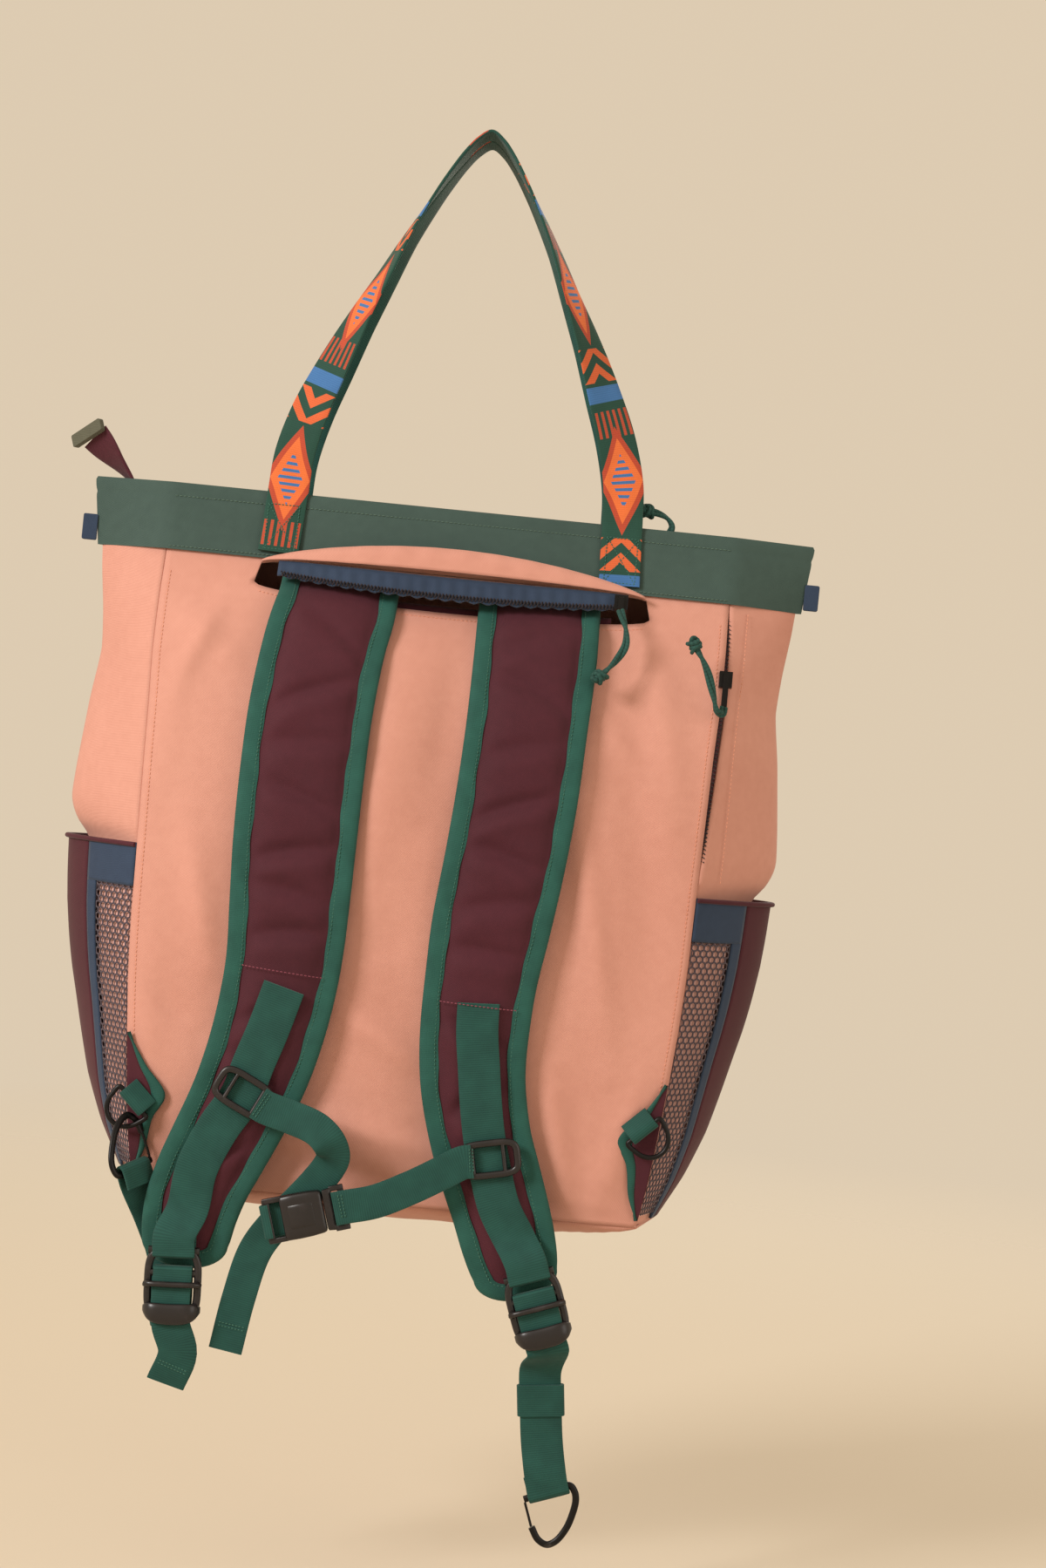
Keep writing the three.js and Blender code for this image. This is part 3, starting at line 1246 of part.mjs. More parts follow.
add('top_zip_pull', pullCord(topCord), 'green');
add('slit_zip_pull', pullCord(slitCord), 'green');
add('side_zip_pull', pullCord(sideCord), 'green');
add('handle_back', handle(-1), 'pattern');
add('handle_front', handle(1), 'pattern');

export default bag;
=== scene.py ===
# %% [markdown]
# # A convertible backpack that hangs from a hand
# The bag is a tall cloth tote with two hand loops, and two padded shoulder straps come out of a slit in its back.
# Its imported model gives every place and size. This lesson covers the plain solids with cloth, webbing, cord and
# hardware that look like the real ones. Every shape is a grid of points that numpy works out from a formula.

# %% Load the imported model
import math
import bmesh
import bpy
import numpy as np
from mathutils import Matrix, Vector


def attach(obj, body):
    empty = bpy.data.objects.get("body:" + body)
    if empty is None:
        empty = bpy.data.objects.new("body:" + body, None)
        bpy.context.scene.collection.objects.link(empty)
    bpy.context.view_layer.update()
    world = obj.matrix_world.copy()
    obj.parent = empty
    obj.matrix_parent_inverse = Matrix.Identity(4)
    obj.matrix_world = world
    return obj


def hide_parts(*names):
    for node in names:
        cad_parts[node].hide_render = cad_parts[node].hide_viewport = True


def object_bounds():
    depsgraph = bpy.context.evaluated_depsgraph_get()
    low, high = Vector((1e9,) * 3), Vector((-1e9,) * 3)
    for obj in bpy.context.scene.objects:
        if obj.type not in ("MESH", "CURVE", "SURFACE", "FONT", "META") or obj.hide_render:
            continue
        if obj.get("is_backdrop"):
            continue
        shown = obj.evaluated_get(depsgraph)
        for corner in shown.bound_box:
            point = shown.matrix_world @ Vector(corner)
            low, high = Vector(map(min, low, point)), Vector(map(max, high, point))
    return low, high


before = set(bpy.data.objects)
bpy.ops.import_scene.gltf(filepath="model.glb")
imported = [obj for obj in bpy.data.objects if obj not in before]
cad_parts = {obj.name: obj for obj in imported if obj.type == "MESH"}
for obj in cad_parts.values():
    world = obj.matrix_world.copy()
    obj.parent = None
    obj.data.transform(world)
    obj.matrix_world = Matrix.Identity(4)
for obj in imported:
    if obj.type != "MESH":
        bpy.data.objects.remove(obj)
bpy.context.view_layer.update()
MM = 0.001
BACK = (0.0, -1.0, 0.0)

# %% [markdown]
# ## Camera, light and floor
# The photograph looks straight at the bag from about 1.8 m, and the bag hangs 5.7 degrees out of plumb. The bag
# stays upright here and the camera rolls instead, which gives the same picture. The light is wide and soft, because
# cloth shows its weave and folds best in light that comes mostly from one side.

# %% Place the camera
roll = math.radians(5.7)
camera_data = bpy.data.cameras.new("photo_camera")
camera_data.lens = 65.42
camera_data.sensor_width = 36
camera = bpy.data.objects.new("photo_camera", camera_data)
bpy.context.scene.collection.objects.link(camera)
right_way = Vector((math.cos(roll), 0, math.sin(roll)))
up_way = Vector((-math.sin(roll), 0, math.cos(roll)))
turned = Matrix((right_way, up_way, Vector((0, -1, 0)))).transposed()
camera.matrix_world = Matrix.Translation((0.058187, -1.765, -0.392706)) @ turned.to_4x4()
bpy.context.scene.camera = camera
print("camera at:", [round(v, 3) for v in camera.matrix_world.translation])


# %% Hang three soft lamps and a pale sky
def soft_lamp(name, place, aim, size, watts, colour):
    """A square area lamp at a place that faces a point."""
    lamp = bpy.data.lights.new(name, "AREA")
    lamp.size = size
    lamp.energy = watts
    lamp.color = colour
    holder = bpy.data.objects.new(name, lamp)
    holder.location = place
    holder.rotation_mode = "QUATERNION"
    holder.rotation_quaternion = (Vector(aim) - Vector(place)).to_track_quat("-Z", "Y")
    bpy.context.scene.collection.objects.link(holder)


soft_lamp("window_lamp", (-1.9, -1.7, 0.7), (0, 0, -0.45), 0.8, 62, (1.0, 0.96, 0.93))
soft_lamp("fill_lamp", (2.2, -1.6, 0.2), (0, 0, -0.45), 1.8, 15, (1.0, 0.96, 0.93))
soft_lamp("back_lamp", (0.6, 2.4, 0.9), (0, 0, -0.4), 1.8, 30, (1.0, 0.97, 0.93))
bpy.context.scene.view_settings.view_transform = "Standard"
sky = bpy.data.worlds.new("pale_room")
sky.use_nodes = True
sky.node_tree.nodes["Background"].inputs["Color"].default_value = (0.98, 0.81, 0.60, 1)
sky.node_tree.nodes["Background"].inputs["Strength"].default_value = 0.74
bpy.context.scene.world = sky
print("lamps:", len(bpy.data.lights))


# %% [markdown]
# ## Helpers for surfaces
# A grid of points becomes a mesh with one face to each cell. A path with a profile becomes a swept surface, which
# suits webbing, cord, binding and wire alike. Cloth gets its thickness from a Solidify modifier.

# %% Grid and sweep helpers
def stacked(*parts):
    """Points whose coordinates are the given arrays, broadcast together."""
    return np.stack(np.broadcast_arrays(*parts), -1)


def col(*steps, **more):
    """Even steps down a grid's rows."""
    return np.linspace(*steps, **more)[:, None]


def row(*steps, **more):
    """Even steps along a grid's columns."""
    return np.linspace(*steps, **more)[None, :]


def travel(line):
    """The length along a line up to each of its points."""
    return np.r_[0, np.cumsum(np.linalg.norm(np.diff(line, axis=0), axis=1))]


def piece_from(name, points, faces, corner_uv=None, smooth=40):
    """A mesh object from points in millimetres. Edges that turn more than smooth degrees stay crisp."""
    mesh = bpy.data.meshes.new(name)
    mesh.from_pydata((np.asarray(points, float) * MM).tolist(), [], faces)
    if corner_uv is not None:
        layer = mesh.uv_layers.new(name="surface")
        layer.data.foreach_set("uv", (np.asarray(corner_uv, float) * MM).ravel())
    mesh.shade_smooth()
    mesh.set_sharp_from_angle(angle=math.radians(smooth))
    obj = bpy.data.objects.new(name, mesh)
    bpy.context.scene.collection.objects.link(obj)
    return obj


def cells(rows, columns, wrap=False, keep=None):
    """Corner numbers of each cell of a grid, row by row, and the same with the column past the end unwrapped."""
    r = np.arange(rows - 1)[:, None]
    c = np.arange(columns if wrap else columns - 1)[None, :]
    flat = [(r, c), (r, c + 1), (r + 1, c + 1), (r + 1, c)]
    place = np.stack([(a * columns + b % columns) for a, b in flat], -1).reshape(-1, 4)
    where = np.stack([stacked(a, b) for a, b in flat], -2).reshape(-1, 4, 2)
    if keep is not None:
        place, where = place[keep.ravel()], where[keep.ravel()]
    return place, where


def grid_piece(name, grid, uv=None, wrap=False, keep=None, outward=None, ends=False, smooth=40):
    """A surface through a grid of points (rows, columns, 3). outward is a direction that the faces are turned to,
    or else they face away from each row's middle. ends closes both ends of a tube."""
    grid = np.asarray(grid, float)
    rows, columns = grid.shape[:2]
    place, where = cells(rows, columns, wrap, keep)
    flat = grid.reshape(-1, 3)
    a, b, c, d = (flat[place[:, k]] for k in range(4))
    normal = np.cross(c - a, d - b)
    middle = (a + b + c + d) / 4
    if outward is None:
        way = middle - grid.mean(1)[where[:, 0, 0]]
    else:
        way = np.asarray(outward, float)
    flipped = (normal * way).sum() < 0
    if uv is None:
        along = travel(grid.mean(1))
        across = travel(grid[rows // 2])
        across = np.r_[across, across[-1] + np.linalg.norm(grid[rows // 2, -1] - grid[rows // 2, 0])]
        corner_uv = stacked(across[where[..., 1]], along[where[..., 0]])
    else:
        wide, long = uv
        corner_uv = stacked(np.asarray(wide)[where[..., 1]], np.asarray(long)[where[..., 0]])
    if flipped:
        place, corner_uv = place[:, ::-1], corner_uv[:, ::-1]
    faces = place.tolist()
    corner_uv = corner_uv.reshape(-1, 2)
    if ends:
        first, last = list(range(columns)), list(range((rows - 1) * columns, rows * columns))
        faces += [first if flipped else first[::-1], last[::-1] if flipped else last]
        corner_uv = np.vstack([corner_uv, np.zeros((2 * columns, 2))])
    return piece_from(name, flat, faces, corner_uv, smooth)


def thicken(obj, wall):
    """A cloth wall of that many millimetres, laid inwards from the surface."""
    shell = obj.modifiers.new("cloth_wall", "SOLIDIFY")
    shell.thickness = wall * MM
    shell.offset = -1
    shell.use_even_offset = False
    return obj


# %% Curves through points
def hermite(t, a, b, slope_a, slope_b):
    """A cubic from a to b with those slopes at its ends, at t from 0 to 1."""
    return ((2 * t**3 - 3 * t**2 + 1) * a + (t**3 - 2 * t**2 + t) * slope_a
            + (3 * t**2 - 2 * t**3) * b + (t**3 - t**2) * slope_b)


def through(xs, ys, at):
    """A smooth curve through a table: between two rows a cubic whose slope at each row is that of the line through
    the rows on both sides of it."""
    xs, ys, at = np.asarray(xs, float), np.asarray(ys, float), np.asarray(at, float)
    slope = np.empty_like(ys)
    slope[1:-1] = (ys[2:] - ys[:-2]) / (xs[2:] - xs[:-2])
    slope[0], slope[-1] = (ys[1] - ys[0]) / (xs[1] - xs[0]), (ys[-1] - ys[-2]) / (xs[-1] - xs[-2])
    i = np.clip(np.searchsorted(xs, at, "right") - 1, 0, len(xs) - 2)
    span = xs[i + 1] - xs[i]
    return hermite((at - xs[i]) / span, ys[i], ys[i + 1], slope[i] * span, slope[i + 1] * span)


def spline(points, t, closed=False):
    """Points on a centripetal Catmull-Rom curve at t from 0 to 1, and the unit tangents there. The knots' spacing is
    the square root of the distance between neighbours, so the curve neither loops nor overshoots."""
    p = np.asarray(points, float)
    n = len(p)
    if closed:
        p = np.vstack([p[-1], p, p[0], p[1]])
        spans = n
    else:
        p = np.vstack([2 * p[0] - p[1], p, 2 * p[-1] - p[-2]])
        spans = n - 1

    def at(t):
        s = np.clip(np.asarray(t, float) * spans, 0, spans - 1e-9)
        k = s.astype(int)
        w = (s - k)[:, None]
        p0, p1, p2, p3 = p[k], p[k + 1], p[k + 2], p[k + 3]
        d0, d1, d2 = (np.sqrt(np.linalg.norm(b - a, axis=1) + 1e-12)[:, None] for a,
                      b in ((p0, p1), (p1, p2), (p2, p3)))
        t1 = ((p1 - p0) / d0 - (p2 - p0) / (d0 + d1) + (p2 - p1) / d1) * d1
        t2 = ((p2 - p1) / d1 - (p3 - p1) / (d1 + d2) + (p3 - p2) / d2) * d1
        return hermite(w, p1, p2, t1, t2)

    t = np.asarray(t, float)
    step = 1e-4
    way = at(np.minimum(t + step, 1)) - at(np.maximum(t - step, 0))
    return at(t), way / np.linalg.norm(way, axis=1)[:, None]


def unit(v):
    """Vectors of length 1."""
    return v / np.linalg.norm(v, axis=-1, keepdims=True)


def square_to(way, along):
    """The part of each vector that is square to the path, at length 1."""
    return unit(way - (way * along).sum(1, keepdims=True) * along)


def smooth_step(x, low, high):
    """0 below low and 1 above high, with a soft rise between them."""
    t = np.clip((np.asarray(x, float) - low) / (high - low), 0, 1)
    return t * t * (3 - 2 * t)


# %% Sweeps and profiles
def stations(points, count, side=None, closed=False):
    """Places, width ways and thickness ways along a smooth path. The width follows side, and where there is none it
    lies across the path and square to the viewer's way."""
    t = np.arange(count) / count if closed else np.linspace(0, 1, count + 1)
    at, along = spline(points, t, closed)
    if side is None:
        across = unit(np.cross(along, BACK))
    else:
        across = square_to(np.asarray(side, float), along)
    return at, across, unit(np.cross(across, along))


def sweep(name, path, section, closed=False, smooth=40):
    """A profile carried along a path. Each ring is place + profile x times the width way + profile y times the
    thickness way, and the profile may differ from ring to ring."""
    at, across, up = path
    section = np.asarray(section, float)
    if section.ndim == 2:
        section = np.broadcast_to(section, (len(at), *section.shape))
    grid = at[:, None] + across[:, None] * section[..., :1] + up[:, None] * section[..., 1:]
    if closed:
        grid = np.vstack([grid, grid[:1]])
    wide = section[0, :, 0] - section[0, :, 0].min()
    middle = grid.mean(1)
    long = travel(middle)
    obj = grid_piece(name, grid, (np.r_[wide, wide[0]], long), wrap=True, ends=not closed, smooth=smooth)
    if closed:
        merge_doubles(obj)
    return obj


def band(wide, thick, crown=0.0):
    """A webbing profile: flat faces with eight points each, round edges, and a slight crown in the middle."""
    half, r = wide / 2 - thick / 2, thick / 2
    x = np.linspace(-half, half, 8)
    y = r + crown * (1 - (x / half) ** 2)
    turn = np.radians([45, 0, -45])
    round_end = np.stack([half + r * np.cos(turn), r * np.sin(turn)], 1)
    return np.vstack([np.stack([x, y], 1), round_end, np.stack([x[::-1], -y[::-1]], 1), -round_end])


def circle(radius, sides=16):
    """A round profile."""
    a = np.arange(sides) / sides * 2 * math.pi
    return np.stack([radius * np.cos(a), radius * np.sin(a)], 1)


# %% Mesh edits
def edit_mesh(obj, work):
    """Opens an object's mesh in bmesh, does the work on it and writes it back."""
    bm = bmesh.new()
    bm.from_mesh(obj.data)
    work(bm)
    bm.to_mesh(obj.data)
    bm.free()
    return obj


def merge_doubles(obj):
    """Joins points that share a place, such as those of the first and last ring of a closed sweep."""
    return edit_mesh(obj, lambda bm: bmesh.ops.remove_doubles(bm, verts=bm.verts, dist=1e-6))


def face_outwards(bm):
    """Turns every face of a closed mesh outwards."""
    bmesh.ops.recalc_face_normals(bm, faces=bm.faces)


def joined(name, parts):
    """One object from several, which are taken away."""
    with bpy.context.temp_override(active_object=parts[0], selected_editable_objects=parts, object=parts[0]):
        bpy.ops.object.join()
    parts[0].name = name
    return parts[0]


# %% [markdown]
# ## Finishes
# Woven nylon is matt with a fine plain weave and uneven colour. Webbing has ribs across it and firm edges. Moulded
# plastic has a faint grain, and the hooks and rings are painted steel that is worn bright in places. The weave, the
# ribs and the uneven colour are node groups, since several finishes share them.

# %% Node helpers
def node(tree, kind, inputs=None, **settings):
    """Adds a node, with each input either set to a value or linked from another node's output."""
    made = tree.nodes.new(kind)
    for key, value in settings.items():
        setattr(made, key, value)
    for key, value in (inputs or {}).items():
        if isinstance(value, bpy.types.NodeSocket):
            tree.links.new(value, made.inputs[key])
        else:
            made.inputs[key].default_value = value
    return made


def calc(tree, how, a, b=0.0, c=0.0, clamp=False):
    """One step of arithmetic."""
    return node(tree, "ShaderNodeMath", {0: a, 1: b, 2: c}, operation=how, use_clamp=clamp).outputs[0]


def noise(tree, place, scale, detail, rough=0.5):
    """Smooth random values."""
    inputs = {"Vector": place, "Scale": scale, "Detail": detail, "Roughness": rough}
    return node(tree, "ShaderNodeTexNoise", inputs).outputs[0]


def new_group(name, inputs, outputs):
    """An empty node group with named number inputs, a Vector input and named outputs."""
    tree = bpy.data.node_groups.new(name, "ShaderNodeTree")
    tree.interface.new_socket("Vector", in_out="INPUT", socket_type="NodeSocketVector")
    for key, value in inputs.items():
        tree.interface.new_socket(key, in_out="INPUT", socket_type="NodeSocketFloat").default_value = value
    for key in outputs:
        tree.interface.new_socket(key, in_out="OUTPUT", socket_type="NodeSocketFloat")
    return tree, tree.nodes.new("NodeGroupInput").outputs, tree.nodes.new("NodeGroupOutput").inputs


# %% Weave: two sets of threads that cross, on the piece's own place in metres
weave, given, result = new_group("plain_weave", {"Threads": 4200.0, "Blotch": 9.0}, ["Height", "Shade"])
part = node(weave, "ShaderNodeSeparateXYZ", {0: given["Vector"]}).outputs
level = calc(weave, "ADD", part[0], part[1])
warp = calc(weave, "SINE", calc(weave, "MULTIPLY", level, given["Threads"]))
weft = calc(weave, "SINE", calc(weave, "MULTIPLY", part[2], given["Threads"]))
fibre = noise(weave, given["Vector"], 1400.0, 2.0)
slub = noise(weave, given["Vector"], 160.0, 3.0)
blotch = noise(weave, given["Vector"], given["Blotch"], 3.0)
crossed = calc(weave, "MULTIPLY_ADD", calc(weave, "MULTIPLY", warp, weft), 0.3, 0.3)
weave.links.new(calc(weave, "MULTIPLY_ADD", fibre, 0.5, crossed), result["Height"])
shade = calc(weave, "MULTIPLY_ADD", blotch, 0.55,
             calc(weave, "MULTIPLY_ADD", slub, 0.3, calc(weave, "MULTIPLY", crossed, 0.35)))
weave.links.new(calc(weave, "SUBTRACT", shade, 0.03, clamp=True), result["Shade"])

# %% Ribs: webbing's ribs run across it, every 1.3 mm along, and fine warp threads run along it
ribs, given, result = new_group("webbing_ribs", {"Rib": 0.0013, "Thread": 0.0009}, ["Height", "Shade"])
part = node(ribs, "ShaderNodeSeparateXYZ", {0: given["Vector"]}).outputs
turns = calc(ribs, "MULTIPLY", calc(ribs, "DIVIDE", part[1], given["Rib"]), 2 * math.pi)
threads = calc(ribs, "MULTIPLY", calc(ribs, "DIVIDE", part[0], given["Thread"]), 2 * math.pi)
wave = calc(ribs, "SINE", turns)
fine = calc(ribs, "SINE", threads)
uneven = noise(ribs, given["Vector"], 60.0, 3.0)
ribs.links.new(calc(ribs, "MULTIPLY_ADD", wave, 0.35, calc(ribs, "MULTIPLY_ADD", fine, 0.15, 0.5)), result["Height"])
ribs.links.new(calc(ribs, "MULTIPLY_ADD", wave, 0.16, calc(ribs, "MULTIPLY_ADD", uneven, 0.8, 0.05), clamp=True),
               result["Shade"])

# %% Wear: soft patches where a finish is rubbed
wear, given, result = new_group("rubbed_patches", {"Scale": 60.0, "Limit": 0.56}, ["Mask", "Height"])
patch = noise(wear, given["Vector"], given["Scale"], 5.0, 0.65)
grain = noise(wear, given["Vector"], 2200.0, 1.0)
wear.links.new(calc(wear, "MULTIPLY", calc(wear, "SUBTRACT", patch, given["Limit"]), 7.0, clamp=True), result["Mask"])
wear.links.new(grain, result["Height"])


# %% Materials from the groups
def linear(colour):
    """A colour of 0 to 255 as the eye sees it, as the light values that Blender mixes."""
    c = np.asarray(colour, float) / 255
    return tuple(np.where(c <= 0.04045, c / 12.92, ((c + 0.055) / 1.055) ** 2.4)) + (1.0,)


def blank(name):
    """A material with its Principled BSDF, and its node tree."""
    made = bpy.data.materials.new(name)
    made.use_nodes = True
    return made, made.node_tree, made.node_tree.nodes["Principled BSDF"].inputs


def mix(tree, share, below, above, **how):
    """Two colours mixed by a share. Each is a colour of 0 to 255 or another node's output."""
    ends = [v if isinstance(v, bpy.types.NodeSocket) else linear(v) for v in (below, above)]
    return node(tree, "ShaderNodeMix", {0: share, 6: ends[0], 7: ends[1]}, data_type="RGBA", **how).outputs[2]


def surface(tree, shader, colour, height, rough, sheen, bump, depth, metal=0.0, spread=0.4):
    """Links a material's colour and relief, and sets its gloss."""
    relief = node(tree, "ShaderNodeBump", {"Height": height, "Strength": bump, "Distance": depth})
    tree.links.new(colour, shader["Base Color"])
    tree.links.new(relief.outputs[0], shader["Normal"])
    values = {"Roughness": rough, "Metallic": metal, "Sheen Weight": sheen, "Sheen Roughness": spread,
              "Specular IOR Level": 0.3 if rough > 0.6 else 0.5}
    for key, value in values.items():
        shader[key].default_value = value


def finish_with(name, group, colours, settings, reads, rough, sheen=0.0, metal=0.0, bump=0.3, depth=0.0004,
                shade="Shade"):
    """A finish whose colour runs between two colours by the group's shade, with the group's height as its bump."""
    made, tree, shader = blank(name)
    inputs = {"Vector": node(tree, "ShaderNodeTexCoord").outputs[reads], **settings}
    pattern = node(tree, "ShaderNodeGroup", inputs, node_tree=group).outputs
    surface(tree, shader, mix(tree, pattern[shade], *colours), pattern["Height"], rough, sheen, bump, depth, metal)
    return made


def woven(name, dark, light, threads=4200.0, bump=0.3):
    """Plain woven cloth or thread."""
    return finish_with(name, weave, (dark, light), {"Threads": threads}, "Object", 0.8, sheen=0.12, bump=bump)


def ribbed(name, dark, light, rib=0.0013, thread=0.0009):
    """Webbing, tape or cord."""
    settings = {"Rib": rib, "Thread": thread}
    return finish_with(name, ribs, (dark, light), settings, "UV", 0.78, sheen=0.1, bump=0.35, depth=0.00016)


def hard(name, dark, light, rough, bump=0.08, **more):
    """Plastic or painted metal that is rubbed in places."""
    return finish_with(name, wear, (dark, light), more.pop("settings", {}), "Object", rough, bump=bump, depth=0.0002,
                       shade="Mask", **more)


pink_cloth = woven("pink_cloth", (182, 124, 108), (214, 158, 142), bump=0.22)
collar_cloth = woven("collar_cloth", (44, 62, 58), (70, 92, 86), threads=5200.0)
burgundy_cloth = woven("burgundy_cloth", (52, 16, 27), (84, 32, 45), threads=5200.0)
navy_cloth = woven("navy_cloth", (30, 42, 62), (54, 72, 98), threads=6000.0)
olive_cloth = woven("olive_cloth", (62, 62, 50), (96, 96, 80))
mesh_yarn = woven("mesh_yarn", (52, 44, 52), (92, 80, 90))
mesh_back = woven("mesh_backing", (204, 154, 146), (232, 186, 176))
green_webbing = ribbed("green_webbing", (14, 52, 48), (36, 88, 80))
green_binding = ribbed("green_binding", (18, 60, 54), (42, 98, 88), rib=0.0009, thread=0.0012)
green_cord = ribbed("green_cord", (18, 52, 48), (46, 90, 82), rib=0.0022, thread=0.0011)
thread_green = woven("green_thread", (40, 84, 72), (72, 120, 106))
thread_burgundy = woven("burgundy_thread", (110, 50, 66), (150, 80, 96))
thread_pink = woven("pink_thread", (196, 128, 104), (226, 164, 140))
thread_grey = woven("grey_thread", (66, 88, 78), (96, 120, 108))
black_plastic = hard("black_plastic", (26, 22, 24), (44, 38, 40), 0.34)
dark_metal = hard("dark_metal", (30, 29, 30), (84, 80, 78), 0.36, bump=0.06, settings={"Limit": 0.6}, metal=0.7)
zip_nylon = hard("zip_nylon", (36, 28, 34), (60, 46, 54), 0.5)
print("finishes:", len(bpy.data.materials))

# %% [markdown]
# ## Hand loop pattern
# The loops' outer face has a woven band of bars, diamonds and chevrons in orange, rust and blue on green. It is a
# plain geometric pattern that repeats every 120 mm. It is worked out from the webbing's own UV map, so it follows the
# loops round. The inner face is plain green.

# %% Draw the pattern with arithmetic on the UV map
pattern_webbing, tree, shader = blank("pattern_webbing")


def sums(how, a, b=0.0):
    """One step of arithmetic in this material."""
    return calc(tree, how, a, b)


HALF_WEB, REPEAT = 0.0125, 0.12
place = node(tree, "ShaderNodeSeparateXYZ", {0: node(tree, "ShaderNodeTexCoord").outputs["UV"]}).outputs
half_across = sums("DIVIDE", sums("ABSOLUTE", sums("SUBTRACT", place[0], HALF_WEB)), HALF_WEB)
repeat = sums("FRACT", sums("DIVIDE", place[1], REPEAT))


def inside(value, low, high):
    """1 where a value lies between two limits, else 0."""
    return sums("MULTIPLY", sums("GREATER_THAN", value, low), sums("LESS_THAN", value, high))


stripes = inside(sums("FRACT", sums("DIVIDE", place[0], 0.0041)), 0.25, 0.72)
comb = sums("MULTIPLY", stripes, inside(repeat, 0.03, 0.17))
diamond_reach = sums("ADD", sums("MULTIPLY", sums("ABSOLUTE", sums("SUBTRACT", repeat, 0.40)), 4.4), half_across)
rungs = inside(sums("FRACT", sums("MULTIPLY", repeat, 28.0)), 0.2, 0.65)
core = sums("MULTIPLY", sums("LESS_THAN", diamond_reach, 0.62), rungs)
chevron = sums("FRACT", sums("MULTIPLY", sums("SUBTRACT", repeat, sums("MULTIPLY", half_across, 0.1)), 9.0))
chevrons = sums("MULTIPLY", inside(chevron, 0.0, 0.5), inside(repeat, 0.70, 0.88))
block = inside(repeat, 0.90, 0.985)
cloth_colour = (30, 74, 62)
for colour, mask in (((188, 78, 52), comb), ((190, 76, 50), inside(diamond_reach, 0.0, 1.25)),
                     ((236, 118, 60), inside(diamond_reach, 0.0, 0.98)), ((66, 118, 178), core),
                     ((222, 104, 58), chevrons), ((66, 118, 178), block)):
    cloth_colour = mix(tree, mask, cloth_colour, colour)
inputs = {"Vector": node(tree, "ShaderNodeTexCoord").outputs["UV"]}
ribs_here = node(tree, "ShaderNodeGroup", inputs, node_tree=ribs).outputs
worn = mix(tree, 0.35, cloth_colour, ribs_here["Shade"], blend_type="MULTIPLY")
surface(tree, shader, worn, ribs_here["Height"], 0.78, 0.1, 0.4, 0.00016, spread=0.5)
print("nodes in the pattern:", len(tree.nodes))

# %% [markdown]
# ## Dress a piece
# Every new piece rides on the body that carries it, hides the solid that it stands for, and takes its finish.

# %% Dressing
SIDES = (("left", -1), ("right", 1))
FACES = (("back", -1), ("front", 1))


def dress(obj, finish, *nodes, body="root"):
    """Gives a piece its finish and its body, and hides the solids that it stands for."""
    if not obj.data.materials:
        obj.data.materials.append(finish)
    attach(obj, body)
    if nodes:
        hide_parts(*nodes)
    return obj


def cloth(name, grid, outward, wall, finish, *nodes):
    """A cloth wall of that many millimetres through a grid of points."""
    return dress(thicken(grid_piece(name, grid, outward=outward), wall), finish, *nodes)


def dress_band(name, path, wide, thick=1.6, crown=0.0):
    """Webbing along a path, for the solid of that name."""
    return dress(sweep(name + "_band", path, band(wide, thick, crown)), green_webbing, name)


def coil(name, line, side, wire=0.45):
    """A zip's wound wire along a line."""
    return sweep(name, stations(line, len(line) - 1, side=side), circle(wire, 5))


# %% [markdown]
# ## Pull cords
# Each zip slider has a doubled cord that ends in a knot. Two thin strands twist slowly round the route of the
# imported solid, and the knot is a separate piece: one strand wound round itself. A limp cord this short hangs from
# its slider or lies on the cloth.

# %% Two strands on the route of each cord
cord_routes = {
    "top_zip_pull": [(133, -3, -234.1), (133, -3, -230), (134, -2, -225), (131, -1, -220.5), (125, -3, -218),
                     (115, -8, -217.5)],
    "slit_zip_pull": [(106.2, -47.6, -282.8), (107.5, -50.8, -286.5), (110.5, -55, -295), (111, -57, -304),
                      (106, -61, -314), (95, -66, -327)],
    "side_zip_pull": [(173.8, -51.5, -334.9), (173, -54, -339), (169.5, -57, -337.5), (166.5, -58.5, -329),
                      (160, -60, -312), (150, -60, -297)],
}
strand = 1.3
for cord_name, route in cord_routes.items():
    at, across, up = stations(route, 60)
    travelled = travel(at)
    turn = travelled[:, None] / 9.0
    strands = []
    for sign in (-1, 1):
        off = sign * 1.2 * (across * np.cos(turn) + up * np.sin(turn))
        strands.append(sweep(cord_name + "_strand", (at + off, across, up), circle(strand, 10)))
    cord_piece = joined(cord_name + "_cord", strands)
    dress(cord_piece, green_cord, cord_name)
    w = np.linspace(0, 1, 70)
    ball = 2.7 + 0.9 * np.sin(6 * math.pi * w)
    spin = 10 * math.pi * w
    lean = unit(at[-1] - at[-5])
    wide, high = across[-1], np.cross(lean, across[-1])
    knot_line = (at[-1] - 3.2 * lean + np.outer(6.0 * (w - 0.5) + 1.2 * np.sin(spin * 1.5), lean)
                 + np.outer(ball * np.cos(spin), wide) + np.outer(ball * np.sin(spin), high))
    knot = sweep(cord_name + "_knot", stations(knot_line, 140, side=lean), circle(1.25, 8))
    dress(knot, green_cord)
    print(cord_name, "length in mm:", round(travelled[-1], 1))

# %% [markdown]
# ## The body's section
# Two panels and two gussets make a tube that is flat at the collar and deep at the base. One table gives its widths
# and depth at each height. A panel bulges by a parabola. A gusset runs from a seam at the panel's edge to a soft
# fold at mid depth.

